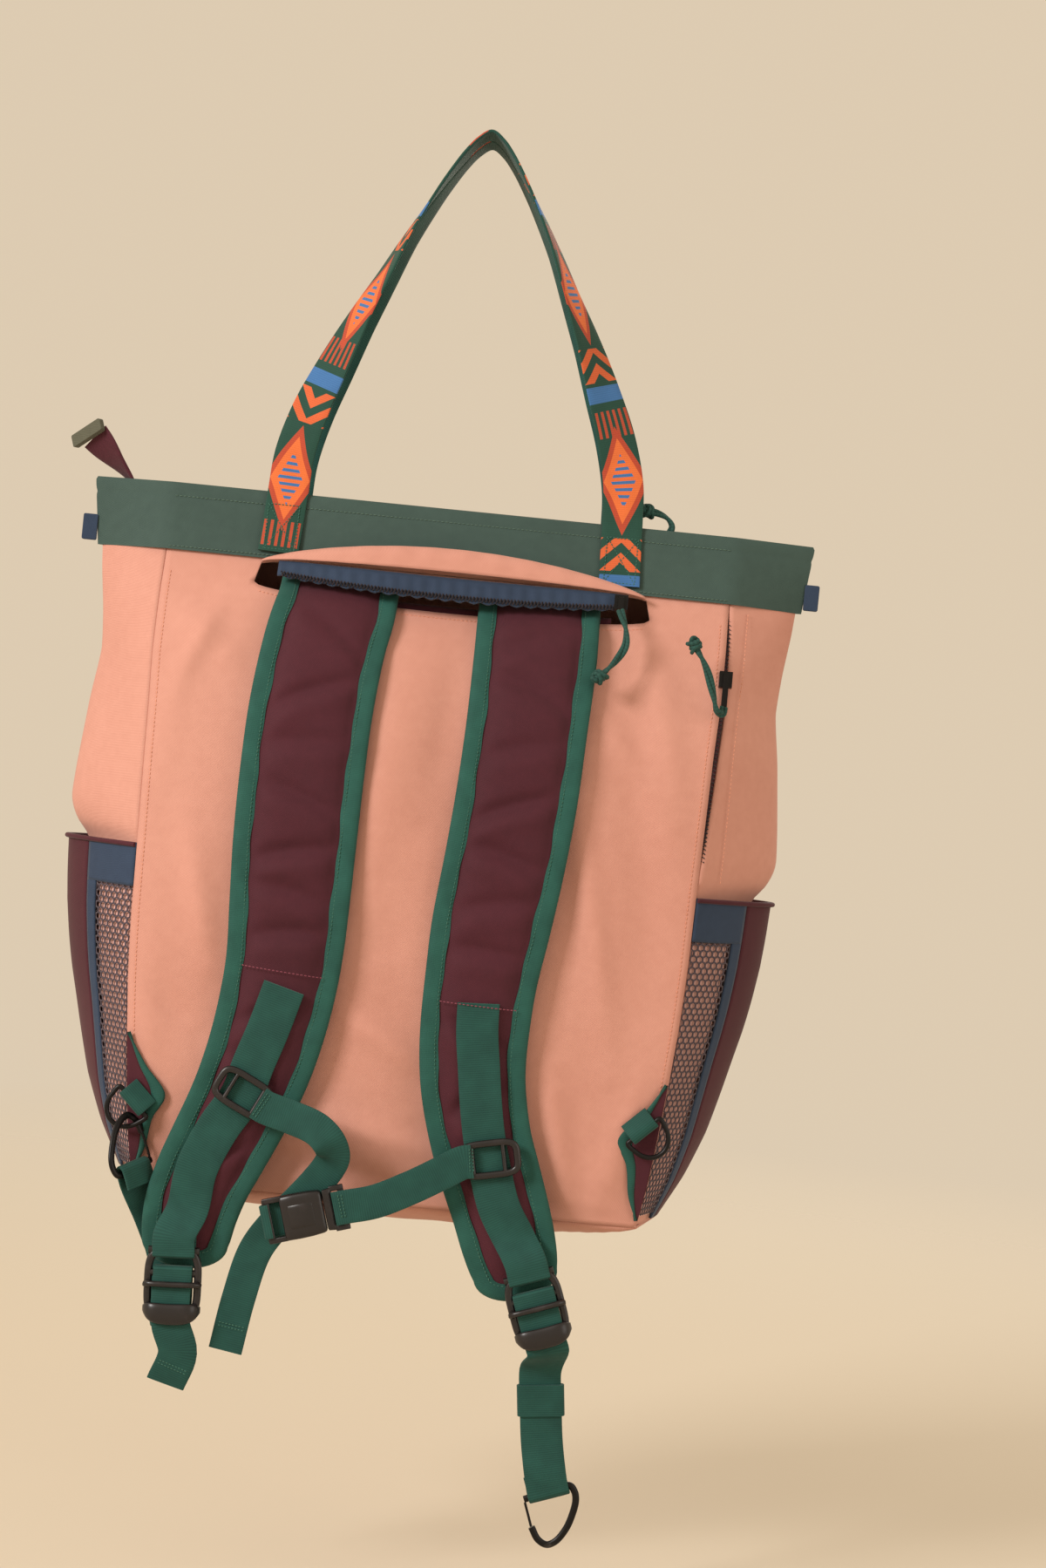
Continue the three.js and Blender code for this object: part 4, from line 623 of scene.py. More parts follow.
# %% Section table and wall formulas
GRIP_DROP, HEIGHT, HALF_PANEL, HALF_FOLD, HALF_DEPTH = 229, 422, 170, 216, 62
shares = [0, 0.1, 0.17, 0.25, 0.32, 0.4, 0.52, 0.66, 0.76, 0.86, 0.93, 1]
section_table = {
    "fold": [1.023, 1.0, 0.99, 0.975, 0.992, 1.004, 1.012, 0.99, 0.944, 0.898, 0.845, 0.769],
    "panel": [1.02, 1.018, 1.018, 1.015, 1.006, 1.0, 0.991, 0.982, 0.965, 0.941, 0.922, 0.894],
    "depth": [0.19, 0.38, 0.58, 0.74, 0.83, 0.9, 0.97, 1, 1, 1, 0.98, 0.94],
    "bulge": [0, 0.1, 0.35, 0.65, 0.9, 1, 1, 1, 1, 0.9, 0.7, 0.4],
    "pocket": [0, 0, 0, 0, 0, 0, 1, 0.8, 0.55, 0.3, 0.18, 0.1],
}
LAP, COLLAR = 33 / HEIGHT, 42 / HEIGHT
levels = np.array([0, 16.5 / HEIGHT, LAP, COLLAR, 0.135, 0.17, 0.25, 0.33, 0.42, 0.49, 0.525, 0.62, 0.72, 0.8, 0.87,
                   0.935, 1])


def share_at(name, down):
    """A column of the table, straight between the levels at which the solids bend, rounded off a little."""
    fine = through(shares, section_table[name], np.clip(down, 0, 1))
    straight = np.interp(down, levels, through(shares, section_table[name], levels))
    return (fine + straight) / 2


def z_at(down):
    """Height at a share of the body's height."""
    return -GRIP_DROP - np.asarray(down, float) * HEIGHT


def down_at(z):
    """Share of the body's height at a height."""
    return (-np.asarray(z, float) - GRIP_DROP) / HEIGHT


def ring_at(down, inset=0.0):
    """Half panel, half width at the fold, half depth and bulge at a share of the height, moved in by inset."""
    return (HALF_PANEL * share_at("panel", down) - inset * 0.55, HALF_FOLD * share_at("fold", down) - inset * 1.15,
            HALF_DEPTH * share_at("depth", down) - inset, 8 * share_at("bulge", down))


creases = {
    # each row is a soft ridge along a line: its two ends (x, z), its width and its height, in mm
    -1: [(-132, -292, -158, -360, 6, 1.6), (92, -400, 128, -560, 9, 1.8), (104, -350, 150, -410, 7, 1.5),
         (-140, -430, -118, -520, 8, 1.4), (-34, -540, 24, -572, 8, 1.4), (-168, -300, -128, -330, 9, 1.8),
         (-150, -290, -165, -420, 10, 1.2), (128, -300, 158, -420, 12, 2.2), (118, -330, 150, -520, 14, -2.0),
         (-20, -300, -30, -470, 16, 1.6), (12, -300, 6, -420, 12, -1.4), (-160, -470, -150, -600, 10, 1.6),
         (150, -560, 128, -640, 9, 2.2), (-60, -600, 60, -622, 9, 1.6), (-110, -622, 20, -640, 8, -1.6),
         (90, -560, 112, -650, 8, 1.8), (-150, -640, -60, -652, 7, 1.6), (-12, -500, 20, -600, 18, -1.6),
         (60, -640, 130, -652, 7, -1.4), (-168, -520, -120, -560, 8, -1.4)],
    1: [(-120, -290, -90, -420, 14, 2.0), (40, -300, 70, -480, 18, -2.2), (130, -330, 110, -520, 14, 2.0),
        (-40, -480, 40, -600, 16, 1.8), (-130, -600, 20, -636, 10, -1.8), (60, -620, 150, -640, 9, 1.8)],
}


def relief(x, z, rows):
    """Height of the cloth's soft creases: a sum of bell curves across lines that fade towards both ends."""
    out = np.zeros(np.broadcast(x, z).shape)
    for x0, z0, x1, z1, wide, high in rows:
        run = np.array([x1 - x0, z1 - z0], float)
        t = ((x - x0) * run[0] + (z - z0) * run[1]) / (run @ run)
        near = np.hypot(x - x0 - run[0] * np.clip(t, 0, 1), z - z0 - run[1] * np.clip(t, 0, 1))
        out += high * np.exp(-((near / wide) ** 2)) * np.sin(math.pi * np.clip(t, 0.08, 0.92)) ** 0.7
    return out


def ripple(x, z):
    """Very small waves of the cloth, the same wherever they are read."""
    return (0.5 * np.sin(x / 23 + z / 41) + 0.35 * np.sin(x / 13 - z / 29 + 1) + 0.25 * np.sin(z / 17 + x / 37 + 2))


def panel_at(face, down, across, inset=0.0, folds=True):
    """Back panel at face -1 and front panel at face 1: y = depth + bulge times (1 - across squared) + creases."""
    panel, _, depth, bulge = ring_at(down, inset)
    x, z = across * panel, z_at(down) + 0 * across
    loose = 0.0
    if folds:
        calm = np.clip(1 - np.abs(across) ** 6, 0, 1) * smooth_step(down, 0.13, 0.2) * (1 - smooth_step(down, 0.97, 1))
        loose = (2.4 * relief(x, z, creases[face]) + 1.5 * ripple(x, z)) * calm
    return stacked(x, face * (depth + bulge * (1 - across**2) + loose), z)


def gusset_at(side, down, turn, inset=0.0, pulled_in=0.0, soft=1.25):
    """A gusset: turn -1 is the back seam, 0 the fold, 1 the front seam. x goes from panel edge to fold by
    1 - |turn| to a power, which rounds the fold off."""
    panel, fold, depth, _ = ring_at(down, inset)
    out = 1 - np.abs(turn) ** soft
    loose = 1.8 * ripple(np.asarray(turn) * 60, z_at(down)) * (1 - np.abs(turn) ** 2) * smooth_step(down, 0.12, 0.2)
    x = side * (panel + (fold - pulled_in - panel) * out + loose)
    return stacked(x, turn * depth, z_at(down))


print("levels in the table:", len(levels), "creases:", sum(len(rows) for rows in creases.values()))

# %% [markdown]
# ## Back panel with the slit
# The grid's rows follow the slit's two lips, so that the opening is just a block of cells left out.

# %% Lips of the slit and the back panel
SLIT_MIDDLE, SLIT_HALF, SEAM_X, BODY_FOOT, PANEL_WALL = 4, 121, 173, 0.9993, 1.8


def slit_share(x):
    """1 at the slit's middle and 0 at its ends."""
    return np.clip(1 - ((np.asarray(x, float) - SLIT_MIDDLE) / SLIT_HALF) ** 2, 0, None)


def slit_low(x):
    """Share of the height at the slit's lower lip."""
    return (57.2 + 8 * np.sqrt(slit_share(x))) / HEIGHT


def slit_high(x):
    """Share of the height at the slit's upper lip."""
    return slit_low(x) - (1.2 + 20.8 * slit_share(x) ** 0.15) / HEIGHT


start, end = SLIT_MIDDLE - SLIT_HALF, SLIT_MIDDLE + SLIT_HALF
xs = np.unique(np.r_[np.linspace(-SEAM_X, start, 16), np.linspace(start, end, 90), np.linspace(end, SEAM_X, 14)])
high, low = slit_high(xs), slit_low(xs)
rows = [LAP + (high - LAP) * t for t in np.linspace(0, 1, 6, endpoint=False)]
rows += [high + (low - high) * t for t in np.linspace(0, 1, 4, endpoint=False)]
rows += [low + (BODY_FOOT - low) * t for t in np.linspace(0, 1, 130)]
down = np.array(rows)
keep = np.ones((len(rows) - 1, len(xs) - 1), bool)
keep[6:10] = (xs[:-1] < start - 0.01) | (xs[1:] > end + 0.01)
across = xs[None, :] / SEAM_X * 0.998
back_panel = grid_piece("back_panel_cloth", panel_at(-1, down, across), keep=keep, outward=BACK)
thicken(back_panel, PANEL_WALL)
dress(back_panel, pink_cloth, "back_panel")
print("back panel points:", down.size)

# %% Front panel, gussets and base
down = col(LAP, BODY_FOOT, 120)
across = row(-0.998, 0.998, 110)
cloth("front_panel_cloth", panel_at(1, down, across), (0, 1, 0), PANEL_WALL, pink_cloth, "front_panel")
ZIP_TOP, ZIP_LONG = 46, 158
for name, side in SIDES:
    turn = row(-0.995, 0.995, 34)
    behind = 2.05 * smooth_step(down, 0.50, 0.527)
    pulled = 11 * np.clip(share_at("pocket", down), 0, None) * smooth_step(down, 0.46, 0.54)
    wall = gusset_at(side, down, turn, behind, pulled)
    if side > 0:
        gap = 6 * np.sin(math.pi * np.clip((down - ZIP_TOP / HEIGHT) / (ZIP_LONG / HEIGHT), 0, 1))
        shift = np.clip(1 - (turn + 1) / 0.5, 0, 1) * gap
        wall[..., 1] += shift * 0.8
        wall[..., 0] += shift * 0.55
    cloth(f"gusset_{name}_cloth", wall, (side, 0, 0), PANEL_WALL, pink_cloth, f"gusset_{name}")
panel, fold, depth, _ = ring_at(np.array(1.0))
wide, deep = np.meshgrid(np.linspace(-1, 1, 60), np.linspace(-1, 1, 30))
x = wide * (panel + (fold - panel) * (1 - np.abs(deep)))
sag = np.minimum(1, (1 - np.maximum(np.abs(wide), np.abs(deep))) / 0.4) ** 0.7
z = -651.3 - 11.0 * sag + 0.5 * ripple(x * 2, deep * 90) * sag
cloth("base_cloth", stacked(x, deep * (depth - 0.3), z), (0, 0, -1), 1.6, pink_cloth, "base_panel")

# %% [markdown]
# ## Collar and top zip
# A firm green band closes the bag's top. It is one loop round the four walls, laid on the outside of the pink cloth,
# and its top edge is folded in. Inside it two burgundy strips carry the zip.

# %% Collar band
def loop_at(turn, down, inset):
    """Once round the body: turn 0 to 1 is the back panel, 1 to 2 the right gusset, then front and left."""
    quarter = np.floor(turn).astype(int) % 4
    s = (turn - np.floor(turn)) * 2 - 1
    walls = [panel_at(-1, down, s, inset, False), gusset_at(1, down, s, inset, soft=1.0),
             panel_at(1, down, -s, inset, False), gusset_at(-1, down, -s, inset, soft=1.0)]
    return np.select([(quarter == k)[..., None] for k in range(4)], walls)


turn = np.concatenate([np.linspace(k, k + 1, n, endpoint=False) for k,
                       n in ((0, 60), (1, 16), (2, 60), (3, 16))])[None, :]
drop = col(0, COLLAR, 24)
lip = 1.1 * (1 - smooth_step(drop * HEIGHT, 0, 2.2)) + 0.5 * np.exp(-(((drop * HEIGHT - 9) / 1.6) ** 2))
bow = 0.32 * np.sin(2.5 * math.pi * turn)
outside = loop_at(turn + 0 * drop, drop + 0 * turn, -2.5 + lip + bow * (drop * 10))
inside_wall = loop_at(turn + 0 * drop, drop + 0 * turn, -0.4)
shell = np.vstack([outside[::-1], inside_wall])
collar = grid_piece("collar_cloth_band", shell[:, ::-1], wrap=True, outward=(0, 0, 0))


def close_rows(bm):
    """Faces between the outside's last row and the inside's."""
    bm.verts.ensure_lookup_table()
    count = shell.shape[1]
    last = len(bm.verts) - count
    for c in range(count):
        d = (c + 1) % count
        bm.faces.new([bm.verts[i] for i in (c, d, last + d, last + c)])
    face_outwards(bm)


edit_mesh(collar, close_rows)
collar.data.shade_smooth()
collar.data.set_sharp_from_angle(angle=math.radians(50))
dress(collar, collar_cloth, "collar_band")
print("collar band points:", shell[..., 0].size)

# %% Closure strips, zip tape and teeth
strip_z = float(z_at(12 / HEIGHT))
panel, fold, depth, _ = ring_at(np.array(12 / HEIGHT))
x = col(-186, 186, 90)
wall_y = (depth * np.minimum(1, (fold - np.abs(x)) / (fold - panel)) - 0.4)
strips = []
for face in (-1, 1):
    t = row(0, 1, 10)
    y = face * (3.3 + (wall_y - 3.3) * t)
    z = strip_z + 0.7 - 2.0 * np.sin(math.pi * t) * (0.7 + 0.3 * np.sin(x / 17))
    strips.append(grid_piece("strip", stacked(x + 0 * t, y, z), outward=(0, 0, 1)))
closure = thicken(joined("closure_cloth", strips), 1.2)
dress(closure, burgundy_cloth, "closure_strip")
coil_count = 110
t = np.arange(coil_count * 8 + 1) / 8
coil_x = -180.7 + t / coil_count * 318
coil_line = stacked(coil_x, 2.2 * np.cos(t * 2 * math.pi), strip_z + 0.3 + 0.75 * np.sin(t * 2 * math.pi))
dress(coil("top_zip_coil", coil_line, (1, 0, 0)), zip_nylon, "top_zip")
print("zip coil turns:", coil_count)

# %% [markdown]
# ## Flap, zip and facing of the slit
# A roll of pink cloth covers the slit's upper edge, with a navy zip lip under it. A burgundy facing shows below the
# straps' roots.

# %% Slit pieces
def slit_line(u, out, drop):
    """A point in front of the slit's upper lip: out is away from the panel, drop is up, and both fade at the ends."""
    x = SLIT_MIDDLE + np.asarray(u) * SLIT_HALF
    share = slit_share(x)
    wall = panel_at(-1, slit_high(x), x / HALF_PANEL, 0, False)
    y = wall[..., 1] - 0.3 - out * share**0.3
    return stacked(x, y, wall[..., 2] + drop * share)


FLAP_ROLL, FLAP_OUT = 17, 3.1
TAPE_OUT = FLAP_OUT + FLAP_ROLL - 1.8 - 1.2
u = col(-0.97, 0.97, 110)
t = np.linspace(0, 4, 20)
out = through(range(5), [0, 0.3, 0.62, 0.9, 1.0], t)[None, :] * FLAP_ROLL
up = through(range(5), [0.1, 0.75, 1.0, 0.72, 0.15], t)[None, :] * FLAP_ROLL
pucker = 0.5 * np.sin(u * 38) * np.sin(math.pi * t / 4)[None, :]
cloth("slit_flap_cloth", slit_line(u, FLAP_OUT + out + pucker, up), (0, -0.5, 1), 1.3, pink_cloth, "slit_flap")
u = col(-0.88, 0.88, 100)
t = row(0, 1, 9)
tape = slit_line(u, TAPE_OUT, -0.8)
fade = slit_share(SLIT_MIDDLE + u * SLIT_HALF)[..., None] ** 0.3
tape = tape + fade * stacked(0 * t * u, -8 * t + 0.9 * np.sin(u * 88) * np.sin(math.pi * t),
                             -14 * t + 0.8 * np.sin(u * 88 + 1) * t)
cloth("slit_zip_tape", tape, (0, -1, -0.3), 1.2, navy_cloth, "slit_zip")
teeth_u = np.linspace(-0.86, 0.86, 101 * 6)
base_line = slit_line(teeth_u, TAPE_OUT, -0.8)
fade = slit_share(SLIT_MIDDLE + teeth_u * SLIT_HALF) ** 0.3
phase = np.arange(len(teeth_u)) / 6 * 2 * math.pi
teeth_line = base_line + stacked(0 * fade, -8 * 0.86 * fade - 0.9 + 0.6 * np.sin(phase),
                                 -14 * 0.86 * fade + 1.5 * np.cos(phase))
dress(coil("slit_zip_coil", teeth_line, (0, 0, 1)), zip_nylon)
u = col(-0.8, 0.8, 60)
t = row(0, 1, 6)
x = SLIT_MIDDLE + u * SLIT_HALF
facing_down = slit_low(x) + 12 * (t - 0.34) / HEIGHT
cloth("slit_facing_cloth", panel_at(-1, facing_down, x / HALF_PANEL + 0 * t, 2.6, False), BACK, 1.2, burgundy_cloth,
      "slit_facing")
print("flap points:", out.size * 110)

# %% [markdown]
# ## Side zip
# A burgundy tape with its teeth shows in the gap of the right seam.

# %% Side zip
TAPE_HALF, TEETH = 5.5, 60
down = (ZIP_TOP + ZIP_LONG * col(0, 1, 80)) / HEIGHT
panel, fold, depth, _ = ring_at(down, 1.9)
t = row(-1, 1, 7)
x = np.where(t < 0, panel + TAPE_HALF * t, panel + (fold - panel) * t * TAPE_HALF / HALF_DEPTH)
y = np.where(t < 0, -depth, -depth + depth * t * TAPE_HALF / HALF_DEPTH)
cloth("side_zip_tape", stacked(x, y, z_at(down)), (0.5, -1, 0), 1.2, burgundy_cloth, "side_zip")
w = np.linspace(0, 1, TEETH * 6)
down_w = (48 + 152 * w) / HEIGHT
panel, fold, depth, _ = ring_at(down_w, 2.0)
phase = w * TEETH * 2 * math.pi
seam_line = stacked(panel + 1.5 + 1.3 * np.cos(phase), -depth - 0.3 + 0.5 * np.sin(phase), z_at(down_w))
dress(coil("side_zip_coil", seam_line, (0, 0, 1), 0.4), zip_nylon)

# %% [markdown]
# ## Shoulder pads
# A pad is foam in burgundy cloth, so it swells between its bound edges and creases where it bends. The surface
# starts a little thinner than the solid and cloth simulation blows it up. Its rim is pinned, as the binding holds it.

# %% Pads' tables and their path
pad_tables = {
    # each row: share of the length, x in half panels, width and thickness as shares of the full ones
    "left": [(0, -.378, .97, .45), (.045, -.378, .97, .45), (.085, -.381, .98, .7), (.133, -.403, .99, 1),
             (.225, -.424, 1, 1), (.317, -.43, 1, 1), (.41, -.43, .99, 1), (.5, -.426, .96, 1), (.575, -.426, .925, 1),
             (.65, -.447, .9, 1), (.718, -.483, .87, 1), (.775, -.53, .835, 1), (.826, -.582, .81, 1),
             (.88, -.636, .78, .95), (.924, -.664, .755, .9), (.966, -.672, .69, .7), (1, -.672, .5, .62)],
    "right": [(0, .34, 1, .45), (.045, .34, 1, .45), (.085, .341, 1, .75), (.133, .342, 1, 1), (.225, .336, .98, 1),
              (.317, .326, .98, 1), (.41, .306, .97, 1), (.5, .28, .95, 1), (.569, .265, .9, 1), (.638, .26, .875, 1),
              (.695, .267, .85, 1), (.741, .288, .83, 1), (.787, .32, .81, 1), (.833, .364, .8, .98),
              (.878, .41, .78, .95), (.924, .452, .755, .9), (.964, .485, .68, .7), (1, .506, .5, .62)],
}
PAD_TOP, PAD_LENGTH, PAD_END, PAD_HALF, PAD_THICK = -262, 436, 0.965, 37, 5.5


def pad_y(z):
    """Middle of a pad: inside the slit at its root, and lying on the panel below."""
    _, _, depth, bulge = ring_at(np.minimum(down_at(z), 0.88))
    tucked = -(HALF_DEPTH * through(shares, section_table["depth"], LAP) - 3.6 - 3.4 - 2)
    out = smooth_step(PAD_TOP - np.asarray(z, float), 3.4, 29.4)
    return tucked + (-(depth + bulge) - 2.2 - PAD_THICK - tucked) * out


def pad_path(which, share):
    """Places and ways along a pad, with its half width and half thickness there."""
    table = np.array(pad_tables[which])
    s = np.linspace(0, 1, 25)
    z = PAD_TOP - s * PAD_LENGTH
    points = stacked(through(table[:, 0], table[:, 1], s) * HALF_PANEL, pad_y(z), z)
    on = np.minimum(share, PAD_END)
    at, along = spline(points, on)
    at = at + along * ((share - on) * PAD_LENGTH)[:, None]
    side = unit(np.cross(along, BACK))
    rounded = np.sqrt(np.clip(1 - (np.clip(share - PAD_END, 0, None) / (1 - PAD_END)) ** 2, 0, 1))
    half = through(table[:, 0], table[:, 2], share) * PAD_HALF * rounded
    return at, side, unit(np.cross(side, along)), half, through(table[:, 0], table[:, 3], share) * PAD_THICK, along


pad_creases = {
    # each row: share of the length, how deep the crease is, and its slant
    "left": [(0.11, 0.16, -0.5), (0.2, 0.28, 0.55), (0.27, 0.18, 0.1), (0.345, 0.22, -0.4), (0.42, 0.3, 0.2),
             (0.475, 0.2, -0.3), (0.53, 0.24, 0.1), (0.64, 0.18, 0.4), (0.72, 0.22, -0.5), (0.83, 0.2, 0.5)],
    "right": [(0.1, 0.14, 0.4), (0.17, 0.24, -0.4), (0.25, 0.18, 0.3), (0.33, 0.3, 0.5), (0.4, 0.26, -0.2),
              (0.465, 0.2, 0.3), (0.53, 0.22, 0.0), (0.64, 0.2, -0.4), (0.73, 0.24, 0.4), (0.84, 0.2, -0.5)],
}


# %% Blow the pads up
def blow_up(obj, pinned, pressure=4.0, cap=4.0):
    """Cloth simulation with inner pressure and no gravity for 20 frames. A point moves at most cap mm."""
    group = obj.vertex_groups.new(name="bound_rim")
    group.add([int(i) for i in np.flatnonzero(pinned)], 1.0, "REPLACE")
    rest = np.empty(len(obj.data.vertices) * 3, np.float32)
    obj.data.vertices.foreach_get("co", rest)
    sim = obj.modifiers.new("pad_cloth", "CLOTH")
    sim.settings.use_pressure = True
    sim.settings.uniform_pressure_force = pressure
    sim.settings.effector_weights.gravity = 0
    sim.settings.vertex_group_mass = "bound_rim"
    sim.settings.quality = 5
    sim.settings.tension_stiffness = sim.settings.compression_stiffness = 12
    sim.settings.bending_stiffness = 0.4
    scene = bpy.context.scene
    for step in range(1, 21):
        scene.frame_set(step)
    swollen = obj.evaluated_get(bpy.context.evaluated_depsgraph_get()).data
    after = np.empty_like(rest)
    swollen.vertices.foreach_get("co", after)
    obj.modifiers.remove(sim)
    scene.frame_set(1)
    moved = (after - rest).reshape(-1, 3)
    length = np.linalg.norm(moved, axis=1, keepdims=True)
    moved *= np.minimum(1, cap * MM / np.maximum(length, 1e-9))
    obj.data.vertices.foreach_set("co", (rest.reshape(-1, 3) + moved).ravel())
    obj.data.update()
    obj.vertex_groups.clear()
    return float(length.max() / MM)


for which in ("left", "right"):
    share = np.r_[np.linspace(0, 0.94, 104), np.linspace(0.945, 0.988, 8)]
    at, side, up, half, thick, _ = pad_path(which, share)
    core = 1 - smooth_step(share, 0.94, 0.988)
    tip = half - 1.4 - (1 - core) * 1.5
    w = np.linspace(-1, 1, 27)
    bound = np.clip((half - 11.4) / np.maximum(half, 12.4), 0.1, 0.9)[:, None]
    crown = np.clip(1 - np.clip(np.abs(w)[None, :] / bound, 0, 1) ** 3.2, 0, 1) ** 0.7
    full = 0.5 + (thick * 0.9 - 0.5)[:, None] * core[:, None] * crown
    dents = np.zeros_like(full)
    for place, deep, slant in pad_creases[which]:
        line = share[:, None] - place - 0.07 * slant * w[None, :] - 0.012 * w[None, :] ** 2
        dents += deep * 15 * np.exp(-((line / 0.009) ** 2)) * crown
        dents -= deep * 7 * np.exp(-(((line - 0.026) / 0.014) ** 2)) * crown
    front = np.maximum(full - dents, 0.5)
    flat = np.broadcast_to(w[None, :] * tip[:, None], full.shape)
    loop_x = np.hstack([flat, flat[:, -2:0:-1]])
    loop_y = np.hstack([front + 0.5, -(full + 0.5)[:, -2:0:-1]])
    pad = sweep(f"shoulder_pad_{which}_cloth", (at, side, up), stacked(loop_x, loop_y), smooth=180)
    rim = np.abs(loop_x) > (half - 11.6)[:, None]
    rim[:2], rim[-3:] = True, True
    print("pad", which, "swelled by", round(blow_up(pad, rim.ravel()), 2), "mm")
    pad.modifiers.new("soften", "SUBSURF").levels = 1
    pad.modifiers["soften"].render_levels = 1
    dress(pad, burgundy_cloth, f"shoulder_pad_{which}")

# %% [markdown]
# ## Bindings of the pads
# A folded tape holds each pad's edge. Its profile is a slim U, carried down one side, round the end and up again.

# %% Bindings
binding_profile = np.array([(11, 1.8), (8, 2.4), (4, 2.6), (1.2, 2.2), (0.1, 1.1), (0, 0), (0.1, -1.1), (1.2, -2.2),
                            (4, -2.6), (8, -2.4), (11, -1.8), (11, -1.1), (4, -1.4), (1.2, -0.9), (1.2, 0.9), (4, 1.4),
                            (11, 1.1)])
binding_paths = {}
for which in ("left", "right"):
    share = np.linspace(0.03, PAD_END, 110)
    at, side, up, half, _, along = pad_path(which, share)
    bend = np.radians(np.linspace(0, 180, 22)[1:-1])[:, None]
    out = side[-1] * np.cos(bend) + along[-1] * np.sin(bend)
    tip = at[-1] + side[-1] * np.cos(bend) * half[-1] + along[-1] * np.sin(bend) * (1 - PAD_END) * PAD_LENGTH
    place = np.vstack([at + side * half[:, None], tip, (at - side * half[:, None])[::-1]])
    inward = np.vstack([-side, -out, side[::-1]])
    lift = np.vstack([up, np.repeat(up[-1:], len(tip), 0), up[::-1]])
    travelled = travel(place)
    wobble = 1 + 0.04 * np.sin(travelled / 11) + 0.03 * np.sin(travelled / 4.3)
    profile = binding_profile[None] * stacked(wobble, 1 + 0.12 * np.sin(travelled / 7))[:, None]
    binding = sweep(f"pad_binding_{which}_tape", (place, inward, lift), profile, smooth=60)
    dress(binding, green_binding, f"pad_binding_{which}")
    binding_paths[which] = (place, inward, lift)
    print("binding", which, "length in mm:", round(travelled[-1]))

# %% [markdown]
# ## Webbing, sliders and locks
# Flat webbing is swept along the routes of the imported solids. Each turn round a bar is part of the same sweep.

# %% Places of the hardware
def on_strap(down, across, turn, out):
    """A turned plane in front of a strap, by shares of the strap's length and the panel's half width."""
    z = PAD_TOP - down * PAD_LENGTH
    return {"x": across * HALF_PANEL, "y": float(front_of(z)) - out, "z": z, "turn": math.radians(turn)}


def front_of(z):
    """y of webbing that lies on a pad."""
    return pad_y(z) - PAD_THICK - 0.45 - 0.8


LOCK_Y = float(front_of(PAD_TOP - 0.96 * PAD_LENGTH)) - 3.5
left_lock, right_lock = on_strap(1.0183, -0.694, 3, 0), on_strap(1.0023, 0.5706, 20, 0)
left_lock["y"] = right_lock["y"] = LOCK_Y
left_slider, right_slider = on_strap(0.7523, -0.5176, -26, 3.2), on_strap(0.8085, 0.359, 12, 3.2)
TOP_BAR, CLEAR = -(22 - 2.25), 1.6 + 0.8 + 0.3
MID_BAR = TOP_BAR + 4.5 + 9


def in_plane(spot, a, b, depth=0.0):
    """The place a across, b down and depth towards the bag from the middle of a turned piece of hardware."""
    c, s = math.cos(spot["turn"]), math.sin(spot["turn"])
    return np.array([spot["x"] + a * c + b * s, spot["y"] + depth, spot["z"] + a * s - b * c])


def lock_way(lock):
    """The way across a lock."""
    return math.cos(lock["turn"]), 0, math.sin(lock["turn"])


def bar_loop(lock, bar, way):
    """A turn of webbing round one of the lock's bars."""
    turn = [(0.2, -1), (0.95, -0.92), (1.08, 0), (0.95, 0.92), (0.2, 1)]
    return [in_plane(lock, 0, bar + way * 3.35 * d, CLEAR * e) for d, e in turn]


def web(runs, per_span=6):
    """Stations along several runs of points. Each run names the way its width points, and the ways blend between."""
    points = np.vstack([np.asarray(run, float).reshape(-1, 3) for run, _ in runs])
    ways = np.vstack([np.tile(np.asarray(way, float), (len(run), 1)) for run, way in runs])
    spans = len(points) - 1
    t = np.linspace(0, 1, spans * per_span + 1)
    at, along = spline(points, t)
    k = np.minimum((t * spans).astype(int), spans - 1)
    w = (t * spans - k)[:, None]
    side = ways[k] * (1 - w) + ways[k + 1] * w
    side = square_to(side, along)
    return at, side, unit(np.cross(side, along))


# %% Webbing on the pads, round the locks' top bars
strap_tables = {
    "left": [(.6055, -.412), (.665, -.453), (.7156, -.494), (.757, -.5235), (.805, -.594), (.8624, -.653),
             (.9174, -.6706)],
    "right": [(.601, .2647), (.642, .2706), (.688, .288), (.734, .306), (.78, .3294), (.821, .359), (.874, .406),
              (.915, .4706)],
}
WEB = 25
strap_paths = {}
for which, lock in (("left", left_lock), ("right", right_lock)):
    lying = []
    for down, across in strap_tables[which]:
        lying.append(in_plane(on_strap(down, across, 0, 0), 0, 0))
    looped = [in_plane(lock, 0, TOP_BAR - 9, -CLEAR), *bar_loop(lock, TOP_BAR, 1),
              in_plane(lock, 0, TOP_BAR - 8, CLEAR * 0.95)]
    path = web([(lying, (1, 0, 0)), (looped, lock_way(lock))])
    strap_paths[which] = path
    dress_band(f"strap_webbing_{which}", path, WEB, crown=0.15)

# %% [markdown]
# A moulded frame is a closed loop of a round-edged profile, and its bars are short sweeps across it.

# %% Frames with bars
def squared(v, power):
    """A round shape's values pushed towards a square one, with their signs kept."""
    return np.sign(v) * np.abs(v) ** power


def rounded_loop(half_w, half_h, radius, count=72):
    """A rectangle with round corners as a closed line: a superellipse of power 2 + 1.2 * size / radius."""
    return squared(circle(1, count), 2 / (2 + 1.2 * min(half_w, half_h) / radius)) * [half_w, half_h]


